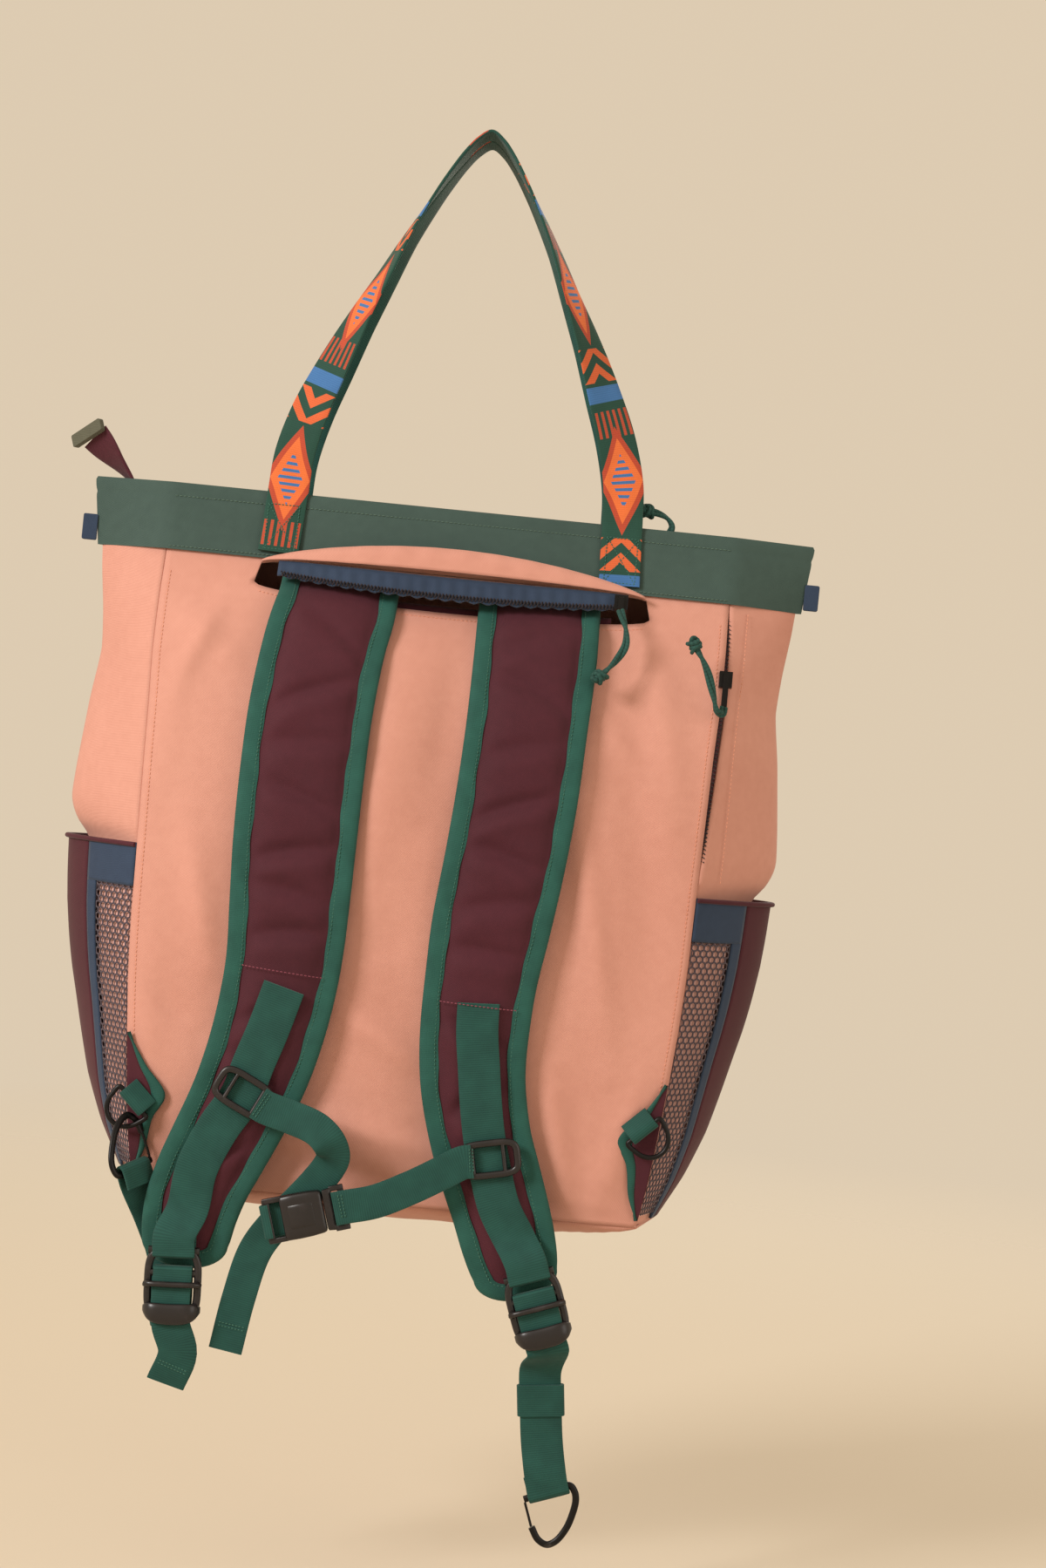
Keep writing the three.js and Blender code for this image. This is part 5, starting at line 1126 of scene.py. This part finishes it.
def plate_piece(name, spot, half_w, half_h, wall, thick, bars, radius):
    """A frame of wall width and thickness with crossbars. Each bar is a width and its stops (across, down, depth)."""
    line = [in_plane(spot, a, b) for a, b in rounded_loop(half_w - wall / 2, half_h - wall / 2, radius)]
    profile = circle(1, 14) * [wall / 2, thick / 2]
    reach = np.abs(profile).max(0)
    profile = squared(profile / reach, 0.75) * reach
    parts = [sweep(name + "_ring", stations(line, 96, closed=True), profile, closed=True, smooth=60)]
    for size, *stops in bars:
        oval = squared(circle(1, 12), 0.8) * [size / 2, thick / 2 * 0.92]
        parts.append(sweep(name + "_bar", stations([in_plane(spot, *stop) for stop in stops], 16), oval, smooth=60))
    return joined(name, parts)


for which, lock in (("left", left_lock), ("right", right_lock)):
    bars = [(4.5, *((x, TOP_BAR + 0.2, 0) for x in (-15, 0, 15))), (4.5, *((x, MID_BAR, 0) for x in (-14.5, 0, 14.5))),
            (3.4, *((x, MID_BAR + b, d) for x, b, d in ((-15, 7, 0), (-15.2, 6, -4.6), (0, 6, -5.6), (15.2, 6, -4.6),
                                                        (15, 7, 0))))]
    frame_part = plate_piece("lock_frame", lock, 17, 22, 4.6, 4.6, bars, radius=9)
    share = np.linspace(-1, 1, 31)
    round_off = np.sqrt(np.clip(1.0004 - share**4, 0, 1))
    turn = np.arange(20) / 20 * 2 * math.pi
    lip_b = 16 + 1.2 * (1 - share**2)
    lip_depth = -0.6 - 5.6 * (1 - share**6)
    grid = np.array([[in_plane(lock, 17 * q, b + 6.2 * r * math.sin(v) - 1.2 * abs(q) ** 3,
                               d + 2.0 * math.cos(v) * r ** 0.5) for v in turn]
                     for q, b, d, r in zip(share, lip_b, lip_depth, np.maximum(round_off, 0.3))])
    lip_part = grid_piece("lock_lip", grid, wrap=True, ends=True, smooth=60)
    lock_piece = joined(f"ladder_lock_{which}_moulding", [frame_part, lip_part])
    dress(lock_piece, black_plastic, f"ladder_lock_{which}")


for which, slider, inner in (("left", left_slider, 1), ("right", right_slider, -1)):
    bars = [(size, *((inner * x, b, 0) for b in (-9.5, 0, 9.5))) for size, x in ((3.4, 10.8), (2.6, -8))]
    moulding = plate_piece(f"sternum_slider_{which}_moulding", slider, 18, 11.5, 4.2, 4.0, bars, radius=5)
    dress(moulding, black_plastic, f"sternum_slider_{which}")

# %% [markdown]
# ## Rings and hooks
# A D ring hangs in a loop of webbing on each lower corner tab. The hooks are flat wire carabiners.

# %% D rings, corner tabs and their loops
TAB_TOP, TAB_FOOT, TAB_REACH = 0.792, 0.988, 22
RING_HALF, RING_DEEP = 12, 17
tab_rows = np.array([(0, .06), (.22, .5), (.42, 1), (.6, .66), (.82, .42), (1, .06)])


def tab_at(side, down, across, inset):
    """A corner tab: its reach over the back panel runs along its table, so it is a small wing by the seam."""
    share = (down - TAB_TOP) / (TAB_FOOT - TAB_TOP)
    panel = ring_at(down)[0]
    x = panel - 0.6 - across * TAB_REACH * np.maximum(0.05, through(tab_rows[:, 0], tab_rows[:, 1], share))
    p = panel_at(-1, down, x / panel, 0, False)
    return stacked(side * x, p[..., 1] - 2.0 - inset, p[..., 2])


# side, share of the body's height, place across the tab, and how deep the ring's loop sits
ring_places = {"left": (-1, 0.888, 0.2, 1.8), "right": (1, 0.858, 0.5, 1.1)}
ring_frames = {}
for which, (side, down, across, seat) in ring_places.items():
    d = col(TAB_TOP, TAB_FOOT, 50)
    t = row(0, 1, 8)
    cloth(f"corner_tab_{which}_cloth", tab_at(side, d, t * 0.66, 0.8), BACK, 1.2, burgundy_cloth, f"corner_tab_{which}")
    t = row(0, 1, 7)
    edge = tab_at(side, d, 0.66 + 0.39 * t, 1.0 + 0.9 * np.sin(math.pi * t))
    cloth(f"tab_binding_{which}_tape", edge, BACK, 1.4, green_binding, f"tab_binding_{which}")
    turn = math.radians(44)
    centre = tab_at(side, np.array(down), across, 6.1)
    bar = np.array([side * math.cos(turn), 0, math.sin(turn)])
    out = np.array([side * math.sin(turn), 0, -math.cos(turn)])
    ring_frames[which] = (centre, bar, out)
    angle = np.radians(np.linspace(90, -90, 13))
    bow = centre + np.outer(RING_HALF * np.sin(angle), bar)
    bow += np.outer(RING_DEEP * np.maximum(0, np.cos(angle)) ** 0.8, out)
    line = np.vstack([centre + bar * -6, centre + bar * 6, bow])
    ring = sweep(f"d_ring_{which}_wire", stations(line, 110, side=(0, 1, 0), closed=True), circle(1.5, 14),
                 closed=True, smooth=80)
    dress(ring, dark_metal, f"d_ring_{which}")
    on_tab = 4.8 + 1.5 - seat - 0.6
    rows = [(-10, on_tab), (-2, 2.4), (1.8, 1.8), (2.52, 0), (1.8, -1.8), (-2, -2.4), (-10, on_tab - 1.5)]
    loop_line = [centre + out * b + np.array([0, c, 0]) for b, c in rows]
    dress_band(f"ring_loop_{which}", stations(loop_line, 40, side=bar), 18, 1.2)
print("rings:", len(ring_frames))

# %% Hooks and their wire gates
HOOK = 31
hook_line = np.array([(-.49, .03), (.42, -.02), (.49, .12), (.47, .3), (.3, .6), (.13, .8), (-.1, .96), (-.28, .98),
                      (-.42, .84), (-.48, .58)])


def hook_ways(turn, yaw):
    """The ways across and down a hook and out of its plane."""
    t, w = math.radians(turn), math.radians(yaw)
    down_way = np.array([math.sin(t), 0, -math.cos(t)])
    across_way = np.array([math.cos(t), 0, math.sin(t)]) * math.cos(w) + np.array([0, math.sin(w), 0])
    return across_way, down_way, np.cross(across_way, down_way)


def in_hook(hook, a, b, out=0.0):
    """A point of a hook's plane, in shares of its length."""
    across_way, down_way, normal = hook_ways(hook["turn"], hook["yaw"])
    return hook["at"] + across_way * a * HOOK * hook["flip"] + down_way * b * HOOK + normal * out


by_right_lock = in_plane(right_lock, 0, 0)
right_hook = {"at": by_right_lock + [18, 20.35, -112], "turn": 20, "yaw": 0, "flip": 1}
left_hook = {"at": np.zeros(3), "turn": 203, "yaw": 128, "flip": -1}
centre, bar, out = ring_frames["left"]
angle = math.radians(-62)
wire_point = centre + bar * RING_HALF * math.sin(angle) + out * RING_DEEP * math.cos(angle) ** 0.8
left_hook["at"] = wire_point - in_hook(left_hook, -0.3, 0.77)
for which, hook in (("left", left_hook), ("right", right_hook)):
    across_way, down_way, normal = hook_ways(hook["turn"], hook["yaw"])
    line = [in_hook(hook, a, b) for a, b in hook_line]
    body = sweep(f"hook_{which}_wire", stations(line, 90, side=normal), circle(1, 16) * [1.5, 2.1], smooth=80)
    dress(body, dark_metal, f"hook_{which}")
    gate = [in_hook(hook, -0.485, 0.095 + 0.471 * t, 0.25 * math.sin(math.pi * t)) for t in (0, 0.33, 0.66, 1)]
    gate_piece = sweep(f"hook_gate_{which}_wire", stations(gate, 16, side=normal), circle(0.8, 10), smooth=80)
    dress(gate_piece, dark_metal, f"hook_gate_{which}", body=f"gate_{which}")
    print("hook", which, "at:", np.round(hook["at"], 1).tolist())


# %% Straps below the locks
def hook_loop(hook):
    """A turn of webbing round the hook's straight end, with its width way."""
    turn = [(-0.06, -1), (0.06, -0.85), (0.115, 0), (0.06, 0.85), (-0.06, 1), (-0.35, 0.9)]
    return [in_hook(hook, 0, d, o * 2.85) for d, o in turn], hook_ways(hook["turn"], hook["yaw"])[0]


def beside(place, *steps):
    """Points at steps (right, inwards, up) from a place."""
    return [place + np.array(step, float) for step in steps]


looped = [in_plane(right_lock, 0, MID_BAR + 10, CLEAR), *bar_loop(right_lock, MID_BAR, -1)[::-1],
          in_plane(right_lock, 0, 11, -CLEAR * 1.1), in_plane(right_lock, 0, 22, -CLEAR * 1.25),
          in_plane(right_lock, 0, 27, -CLEAR * 0.8)]
right_end = beside(by_right_lock, (6, 12.35, -39), (8, 15.35, -57), (11, 17.85, -81), (15, 16.85, -101))
lower_right = web([(looped, lock_way(right_lock)), (right_end, (1, 0, 0)), hook_loop(right_hook)])
dress_band("lower_webbing_right", lower_right, WEB, crown=0.1)
mid_at, mid_side, mid_up = (v[6] for v in web([(right_end, (1, 0, 0))]))
mid_along = np.cross(mid_up, mid_side)
t = np.linspace(-9.5, 9.5, 9)
keeper_path = (mid_at + t[:, None] * mid_along, np.repeat(mid_side[None], 9, 0), np.repeat(mid_up[None], 9, 0))
keeper = sweep("webbing_keeper_right_sleeve", keeper_path, band(28.2, 4.6))
dress(keeper, green_webbing, "webbing_keeper_right")

by_left_lock = in_plane(left_lock, 0, 0)
looped = [*beside(by_left_lock, (1, 4.35, -60), (7, -0.65, -40)), in_plane(left_lock, 0, 22, -CLEAR * 1.1),
          *bar_loop(left_lock, MID_BAR, -1), in_plane(left_lock, 0, MID_BAR + 14, CLEAR + 1),
          in_plane(left_lock, -1, 24, CLEAR + 5), in_plane(left_lock, -2, 26, CLEAR + 10),
          in_plane(left_lock, -4, 19, CLEAR + 15)]
rising = beside(by_left_lock, (-5, 19.35, 4), (-10, 19.35, 20))
turning = beside(left_hook["at"], (11.8, 10.36, -26))
lower_left = web([(looped, lock_way(left_lock)), (rising, (1, 0, 0)), (turning, (0.85, 0.4, 0.2)),
                  hook_loop(left_hook)])
dress_band("lower_webbing_left", lower_left, 23, crown=0.1)
print("stations on the lower straps:", len(lower_left[0]) + len(lower_right[0]))

# %% [markdown]
# ## Sternum strap
# The strap's two halves meet in a buckle. The left half is sewn to its slider, passes behind the buckle, and its
# tail hangs below.

# %% Sternum webbing
buckle = on_strap(0.906, -0.2647, 17, 9.15)
BUCKLE = in_plane(buckle, 0, 0)


def in_buckle(a, b, c):
    """A point of the buckle: a along it, b towards the bag and c across it."""
    return in_plane(buckle, a, -c, b)


def slider_seam(slider, a):
    """A point of the webbing that is sewn to a slider."""
    return in_plane(slider, a, 0, -2.5)


sewn = [slider_seam(left_slider, a) for a in (10.8, 16.2)]
left_points = sewn + beside(BUCKLE, (-13, 1, 56), (3, -3, 51), (11, -4, 44), (14, 0, 36), (12, 4.8, 29), (5, 6, 18),
                            (-6, 5.7, 4), (-17, 6.7, -9), (-27, 10, -26), (-34, 12, -55), (-39, 14, -87))
sternum_left = stations(left_points, 120)
dress_band("sternum_webbing_left", sternum_left, 20, 1.4)
plug_bar = 40 * 0.31 + 12
right_points = [in_buckle(plug_bar - 6, -3.4, 0), in_buckle(plug_bar + 1, -3.4, 0)]
right_points += beside(BUCKLE, (41, -2, 12), (61, -1, 22), (79, 1.5, 32.5))
right_points += [slider_seam(right_slider, a) for a in (-16.2, -10.8)]
sternum_right = stations(right_points, 70)
dress_band("sternum_webbing_right", sternum_right, 20, 1.4)
wrap_bar = -40 * 0.31 - 8.7
wrap_rows = [(8, 1.1), (3, 1), (-0.5, 1), (-2.4, .7), (-3, 0), (-2.4, -.7), (-0.5, -1), (1.5, -1)]
wrap_side = np.array([-math.sin(buckle["turn"]), 0, math.cos(buckle["turn"])])
wrap_path = stations([in_buckle(wrap_bar + a, b * 2.7, 0) for a, b in wrap_rows], 50, side=wrap_side)
dress_band("sternum_wrap", wrap_path, 20, 1.4)
print("sternum tail ends at z in mm:", round(left_points[-1][2]))

# %% [markdown]
# ## Buckle
# The socket is a flat box with rounded edges, open where the plug's two arms spring out at its sides. Its shape is
# a superellipse section that grows and shrinks along the buckle.

# %% Buckle
def swollen_box(name, spine, half_w, half_t, aside=0.0):
    """A lofted body: at each place along the spine its section is a superellipse of the given half sizes."""
    loop = squared(circle(1, 32), 0.35)
    grid = np.array([[in_buckle(s, t * q, w * p + aside) for p, q in loop] for s, w, t in zip(spine, half_w, half_t)])
    return grid_piece(name, grid, wrap=True, ends=True, smooth=50)


ARMS = (-11.8, 11.8)
socket_parts = [
    swollen_box("socket_shell", [-12.4, -12, -11, -4, 4, 10.5, 12, 12.4],
                [11.5, 12.6, 13.2, 13.4, 13.2, 12.6, 12.0, 11.0], [3.2, 4.0, 4.4, 4.5, 4.5, 4.4, 4.0, 3.2]),
    swollen_box("socket_rib", [-8, -7.6, 6, 6.6], [7.6, 8.0, 8.0, 7.4], [4.7, 4.95, 4.95, 4.7]),
]
socket_parts += [swollen_box("socket_arm", [-22.4, -22, -11], [1.4, 1.6, 1.6], [1.6, 1.7, 1.7], aside)
                 for aside in ARMS]
socket_parts.append(swollen_box("socket_bar", [-22.8, -22.4, -19.2, -18.8], [12.6, 13.0, 13.0, 12.6],
                                [1.4, 1.7, 1.7, 1.4]))
socket = joined("buckle_socket_moulding", socket_parts)
dress(socket, black_plastic, "buckle_socket")
plug_parts = [
    swollen_box("plug_root", [12.9, 13.3, 17.8, 18.4], [11.2, 12.0, 12.6, 12.2], [1.8, 2.6, 2.4, 1.7]),
    swollen_box("plug_bar", [22.2, 22.6, 25.4, 25.8], [12.6, 13.2, 13.2, 12.6], [1.2, 1.7, 1.7, 1.2]),
]
plug_parts += [swollen_box("plug_side", [17.5, 18, 25.6, 25.8], [1.5, 1.6, 1.6, 1.4], [1.6, 1.7, 1.7, 1.5], aside)
               for aside in ARMS]
plug = joined("buckle_plug_moulding", plug_parts)
dress(plug, black_plastic, "buckle_plug")
print("buckle parts:", len(socket_parts) + len(plug_parts))

# %% [markdown]
# ## Side pockets
# Burgundy cloth stands off each gusset from mid height to the base. A navy elastic holds its mouth, and a strip of
# dark net beside the back seam shows a paler lining.

# %% Pockets
def pocket_at(side, down, turn, inset=0.0):
    """A pocket's wall: as a gusset, but rounder, by 1 - |turn| to the power 1.5."""
    panel, fold, depth, _ = ring_at(down, inset)
    out = 1 - np.abs(turn) ** 1.5
    crumple = 0.9 * ripple(turn * 70, z_at(down)) * (1 - turn**2) * smooth_step(down, 0.56, 0.62)
    return stacked(side * (panel + (fold - panel) * out + crumple), turn * depth, z_at(down))


mouth, foot, elastic = 0.525, 0.992, 26 / HEIGHT
for name, side in SIDES:
    way = (side, 0, 0)
    down = col(mouth, foot, 70)
    turn = row(-0.48, 0.99, 40)
    cloth(f"side_pocket_{name}_cloth", pocket_at(side, down, turn), way, 1.6, burgundy_cloth, f"side_pocket_{name}")
    patches = ((mouth, mouth + elastic, 14, -0.995, 16), (mouth + elastic, foot, 50, -0.6, 6))
    parts = [grid_piece("elastic", pocket_at(side, col(high, low, n), row(left, -0.49, m)), outward=(side, -1, 0))
             for high, low, n, left, m in patches]
    dress(thicken(joined(f"pocket_elastic_{name}_tape", parts), 1.6), navy_cloth, f"pocket_elastic_{name}")
    hem_turn = np.linspace(-0.99, 0.985, 60)
    hem = pocket_at(side, np.full(60, mouth + 0.003), hem_turn)
    hem += stacked(side * (1 - hem_turn**2), hem_turn * 0.4, 0 * hem_turn)
    dark = sweep(f"pocket_hem_{name}_roll", stations(hem, 90, side=(0, 0, 1)), circle(1.5, 10))
    dress(dark, burgundy_cloth)
    # Net: each six-sided hole has a ring of six quads between an outer and an inner hexagon
    pitch, wide_n, high_n = 4.0, 7, 48
    ci, cj = np.meshgrid(np.arange(wide_n), np.arange(high_n))
    centres = stacked((ci + 0.5 * (cj % 2)).ravel() * pitch, cj.ravel() * pitch * 0.866)[:, None]
    a = (np.arange(6) + 0.5) / 6 * 2 * math.pi
    corners = stacked(np.cos(a), np.sin(a)) * pitch
    flat = np.concatenate([centres + corners / math.sqrt(3), centres + corners * 0.45], 1).reshape(-1, 2)
    turn = -0.99 + np.clip(flat[:, 0] / ((wide_n - 0.5) * pitch), 0, 1) * 0.375
    down = mouth + elastic + np.clip(flat[:, 1] / (high_n * pitch * 0.866), 0, 1) * (0.985 - mouth - elastic)
    world = pocket_at(side, down, turn, 0.2)
    cell = np.arange(len(centres))[:, None] * 12
    k = np.arange(6)[None, :]
    quads = stacked(cell + k, cell + (k + 1) % 6, cell + 6 + (k + 1) % 6, cell + 6 + k).reshape(-1, 4)
    v0, v1, v2 = world[quads[:, 0]], world[quads[:, 1]], world[quads[:, 2]]
    if (np.cross(v1 - v0, v2 - v0) * [side, -1, 0]).sum() < 0:
        quads = quads[:, ::-1]
    net = piece_from(f"pocket_mesh_{name}_net", world, quads.tolist(), np.zeros((quads.size, 2)))
    merge_doubles(net)
    print("holes in the net:", len(centres))
    dress(thicken(net, 0.6), mesh_yarn, f"pocket_mesh_{name}")
    down = col(mouth + elastic, 0.985, 40)
    cloth(f"pocket_lining_{name}_cloth", pocket_at(side, down, row(-0.98, -0.62, 8), 2.0), (side, -1, 0), 0.6,
          mesh_back)

# %% [markdown]
# ## Hand loops
# Each loop starts flat on the collar, turns edge on towards the hand, and comes down again. Its outer face carries
# the woven pattern.

# %% Hand loops
GRIP_GAP, LEGS_APART = 13, 103
# each row: share of the rise, share of the legs' distance, and turn in degrees
handle_table = [(1, 1, 0), (.9, .985, 6), (.78, .92, 18), (.65, .81, 34), (.52, .69, 52), (.4, .565, 66),
                (.27, .43, 78), (.14, .27, 86), (.06, .155, 90), (.015, .075, 90)]


def collar_y(down):
    """How far out a loop's webbing lies on the collar."""
    _, _, depth, bulge = ring_at(np.array(down))
    return float(depth + bulge) + 0.9 + 2.2 + 0.9


for name, face in FACES:
    def leg(side):
        """Rows (x, y, z, turn) from the loop's foot up to the hand."""
        rows = [(side * x, face * collar_y(down_at(z)), z, 0) for x, z in ((104.5, -267), (103.75, -248))]
        for down, across, turn in handle_table:
            y = face * (GRIP_GAP + (collar_y(0) - GRIP_GAP) * down**3)
            rows.append((side * LEGS_APART * across, y, -GRIP_DROP * down + 0.9, turn))
        return rows

    left, right = leg(-1), leg(1)[::-1]
    rows = np.array(left + [(0, face * GRIP_GAP, 2.4, 90)] + right)
    count = (len(rows) - 1) * 10
    t = np.linspace(0, 1, count + 1)
    at, along = spline(rows[:, :3], t)
    base_way = unit(np.cross(along, BACK))
    flat_way = unit(np.cross(base_way, along))
    angle = -face * np.radians(np.interp(t * (len(rows) - 1), np.arange(len(rows)), rows[:, 3]))[:, None]
    side = base_way * np.cos(angle) + flat_way * np.sin(angle)
    up = unit(np.cross(side, along))
    handle = sweep(f"handle_{name}_band", (at, side, up), band(25, 1.8, 0.1))
    handle.data.materials.append(pattern_webbing)
    handle.data.materials.append(green_webbing)
    columns = len(band(25, 1.8))
    marks = np.zeros(len(handle.data.polygons), np.int32)
    ring_index = np.arange(len(marks)) % columns
    inner_face = (ring_index >= 9) & (ring_index < 20)
    marks[inner_face if face < 0 else ring_index < 9] = 1
    handle.data.polygons.foreach_set("material_index", marks)
    dress(handle, pattern_webbing, f"handle_{name}")
    print("loop", name, "length in mm:", round(travel(at)[-1]))

# %% [markdown]
# ## Zip tail, cap, side tabs and sliders
# Small parts finish the collar's ends and the zips.

# %% Zip tail and cap
tail_line = [(-196, 0, -238), (-203, 0, -228), (-214, -1, -229 + 12.1), (-226.5, -2, -205)]
at, side, up = stations(tail_line, 30, side=(0, 1, 0))
turn = np.radians(-55 * np.linspace(0, 1, 31))[:, None]
side, up = side * np.cos(turn) + up * np.sin(turn), -side * np.sin(turn) + up * np.cos(turn)
wide = 11 + 12 * smooth_step(np.linspace(0, 1, 31), 0.25, 0.9)
profile = np.stack([band(24, 1.9) * [w / 24, 1] for w in wide])
dress(sweep("zip_tail_cloth", (at, side, up), profile), burgundy_cloth, "zip_tail")


def softened_copy(name, node_name, bevel, shift=0.0):
    """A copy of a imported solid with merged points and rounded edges, for small mouldings and folded tape. It may be
    shifted sideways by some millimetres, so that it is seen to be sewn on."""
    copy = bpy.data.objects.new(name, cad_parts[node_name].data.copy())
    copy.data.transform(Matrix.Translation((shift * MM, 0, 0)))
    copy.data.materials.clear()
    bpy.context.scene.collection.objects.link(copy)
    merge_doubles(copy)
    rounding = copy.modifiers.new("rounded_edges", "BEVEL")
    rounding.width = bevel * MM
    rounding.segments = 3
    rounding.limit_method = "ANGLE"
    copy.data.shade_smooth()
    copy.data.set_sharp_from_angle(angle=math.radians(35))
    return copy


dress(softened_copy("zip_tail_cap_fold", "zip_tail_cap", 1.2), olive_cloth, "zip_tail_cap")
for name, shift in (("left", 1.8), ("right", -1.8)):
    dress(softened_copy(f"side_tab_{name}_fold", f"side_tab_{name}", 0.9, shift=shift), navy_cloth, f"side_tab_{name}")
for name in ("top", "slit", "side"):
    dress(softened_copy(f"{name}_zip_slider_metal", f"{name}_zip_slider", 0.45), dark_metal, f"{name}_zip_slider")
print("small parts copied from their solids:", 6)

# %% [markdown]
# ## Stitches
# Every seam shows its thread. A stitch is a tiny capsule that lies on the cloth, and a row of them is one mesh.

# %% Rows of stitches
def stitch_row(name, line, normal, thread, pitch=2.6, long=1.9, thick=0.32):
    """Capsules along a line of points: one every pitch mm, long mm long, turned along the line."""
    line = np.asarray(line, float)
    travelled = travel(line)
    centres = np.arange(pitch / 2, travelled[-1] - pitch / 2, pitch)
    at = np.stack([np.interp(centres, travelled, line[:, k]) for k in range(3)], -1)
    ahead = np.stack([np.interp(centres + 0.5, travelled, line[:, k]) for k in range(3)], -1)
    along = unit(ahead - at + 1e-9)
    lift = square_to(np.asarray(normal, float), along)
    wide = np.cross(along, lift)
    rows = np.array([-0.5, -0.3, 0.3, 0.5])
    size = np.array([0.3, 1, 1, 0.3])
    sink = np.array([-0.35, 0.1, 0.1, -0.35])
    a = np.arange(5) / 5 * 2 * math.pi
    points = (at[:, None, None] + along[:, None, None] * (rows * long)[None, :, None, None]
              + wide[:, None, None] * (size[:, None] * np.cos(a))[None, ..., None] * thick
              + lift[:, None, None] * (size[:, None] * np.sin(a) + sink[:, None])[None, ..., None] * thick)
    count = len(at)
    quad = cells(4, 5, wrap=True)[0]
    faces = (np.arange(count)[:, None, None] * 20 + quad[None]).reshape(-1, 4).tolist()
    for start in (np.arange(count) * 20).tolist():
        faces.append([start + k for k in (4, 3, 2, 1, 0)])
        faces.append([start + 15 + k for k in range(5)])
    return dress(edit_mesh(piece_from(name, points.reshape(-1, 3), faces, smooth=180), face_outwards), thread)


for name, (place, inward, lift) in binding_paths.items():
    line = place + inward * 9.2 + lift * 2.3
    stitch_row(f"pad_binding_{name}_stitches", line, BACK, thread_green, 2.4, 1.7)
for name, face in FACES:
    for mark, down, inset in (("top", 8.5 / HEIGHT, -2.3), ("low", 40 / HEIGHT, -2.75)):
        line = panel_at(face, np.full(400, down), np.linspace(-0.985, 0.985, 400), inset, False)
        stitch_row(f"collar_{name}_{mark}_stitches", line, (0, face, 0), thread_grey)
x = np.linspace(-114, 122, 400)
line = panel_at(-1, slit_low(x) + 3.5 / HEIGHT, x / SEAM_X, 0)
stitch_row("slit_edge_stitches", line + [0, -0.1, 0], BACK, thread_pink)
for name, side in SIDES:
    down = np.linspace(0.13, 0.985, 400)
    line = panel_at(-1, down, np.full(400, side * 0.972), 0)
    stitch_row(f"back_seam_{name}_stitches", line + [0, -0.1, 0], BACK, thread_pink)

for which, share in (("left", 0.585), ("right", 0.605)):
    at, side, up, half, thick, _ = pad_path(which, np.array([share, share + 0.01]))
    t = col(-0.72, 0.72, 30)
    line = at[0] + side[0] * t * half[0] + up[0] * (0.6 + 0.5 + (thick[0] * 0.9 + 2.2)
                                                    * (1 - np.abs(t / 0.78) ** 3.2).clip(0) ** 0.7)
    stitch_row(f"pad_patch_{which}_stitches", line, BACK, thread_burgundy, 2.4, 1.7)

down = np.linspace(0.11, 0.505, 300)
line = gusset_at(1, down, np.full(300, -0.8)) + [1.6, -0.5, 0]
stitch_row("side_zip_stitches", line, (0.4, -1, 0), thread_pink)
for name, face in FACES:
    for mark, x in (("left", -104.2), ("right", 104.2)):
        left, right, low_z, high_z = x - 9.5, x + 9.5, -265, -237
        corners = np.array([(left, low_z), (right, low_z), (right, high_z), (left, high_z), (left, low_z),
                            (right, high_z), (right, low_z), (left, high_z)])
        out = face * np.array([collar_y(float(np.clip(down_at(z), 0, 0.09))) + 1.0 for z in corners[:, 1]])
        spread = np.linspace(0, len(corners) - 1, 300)
        line = stacked(*(np.interp(spread, range(len(corners)), v) for v in (corners[:, 0], out, corners[:, 1])))
        stitch_row(f"loop_foot_{name}_{mark}_stitches", line, (0, face, 0), thread_green, 2.2, 1.6)

# %% Stitches on webbing
def across_web(path, share, wide):
    """Two lines of stitches across webbing at a share of its length."""
    at, side, up = path
    k = int(share * (len(at) - 1))
    along = unit(np.cross(up[k], side[k]))
    return [at[k] + side[k] * col(-wide / 2, wide / 2, 12) + along * 2.0 * r + up[k] * 0.95 for r in range(2)]


strap_seams = [(path, share, 21) for path in strap_paths.values() for share in (0.03, 0.62)]
other_seams = [(sternum_left, 0.03, 16), (sternum_right, 0.96, 16), (sternum_right, 0.10, 16),
               (sternum_left, 0.965, 16), (lower_left, 0.03, 19), (lower_right, 0.8, 20)]
for kind, seams in (("strap_bartack", strap_seams), ("sternum", other_seams)):
    for k, line in enumerate(line for seam in seams for line in across_web(*seam)):
        stitch_row(f"{kind}_{k}_stitches", line, BACK, thread_green, 2.0, 1.5)

# %% [markdown]
# ## Floor
# A pale round floor lies under the bag and fades out towards its rim.

# %% Floor
FLOOR_Z, FLOOR_RADIUS = -880.0, 2600
radius = col(0, 1, 24) * FLOOR_RADIUS
angle = row(0, 2 * math.pi, 64, endpoint=False)
disc = stacked(radius * np.cos(angle), radius * np.sin(angle), FLOOR_Z + 0 * radius * angle)
floor = grid_piece("floor", disc, wrap=True, outward=(0, 0, 1))
pale, tree, shader = blank("pale_floor")
centre_way = node(tree, "ShaderNodeVectorMath", {0: node(tree, "ShaderNodeTexCoord").outputs["Object"]},
                  operation="LENGTH")
fade = calc(tree, "SMOOTH_MIN",
            calc(tree, "DIVIDE", calc(tree, "SUBTRACT", 2.5, centre_way.outputs["Value"]), 1.4, clamp=True), 1.0, 0.1)
tree.links.new(fade, shader["Alpha"])
shader["Base Color"].default_value = linear((204, 192, 172))
shader["Roughness"].default_value = 0.9
floor.data.materials.append(pale)
floor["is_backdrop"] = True

# %% Print the box round everything that is drawn
low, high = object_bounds()
print("visual box:", [round(v, 3) for v in (*low, *high)])
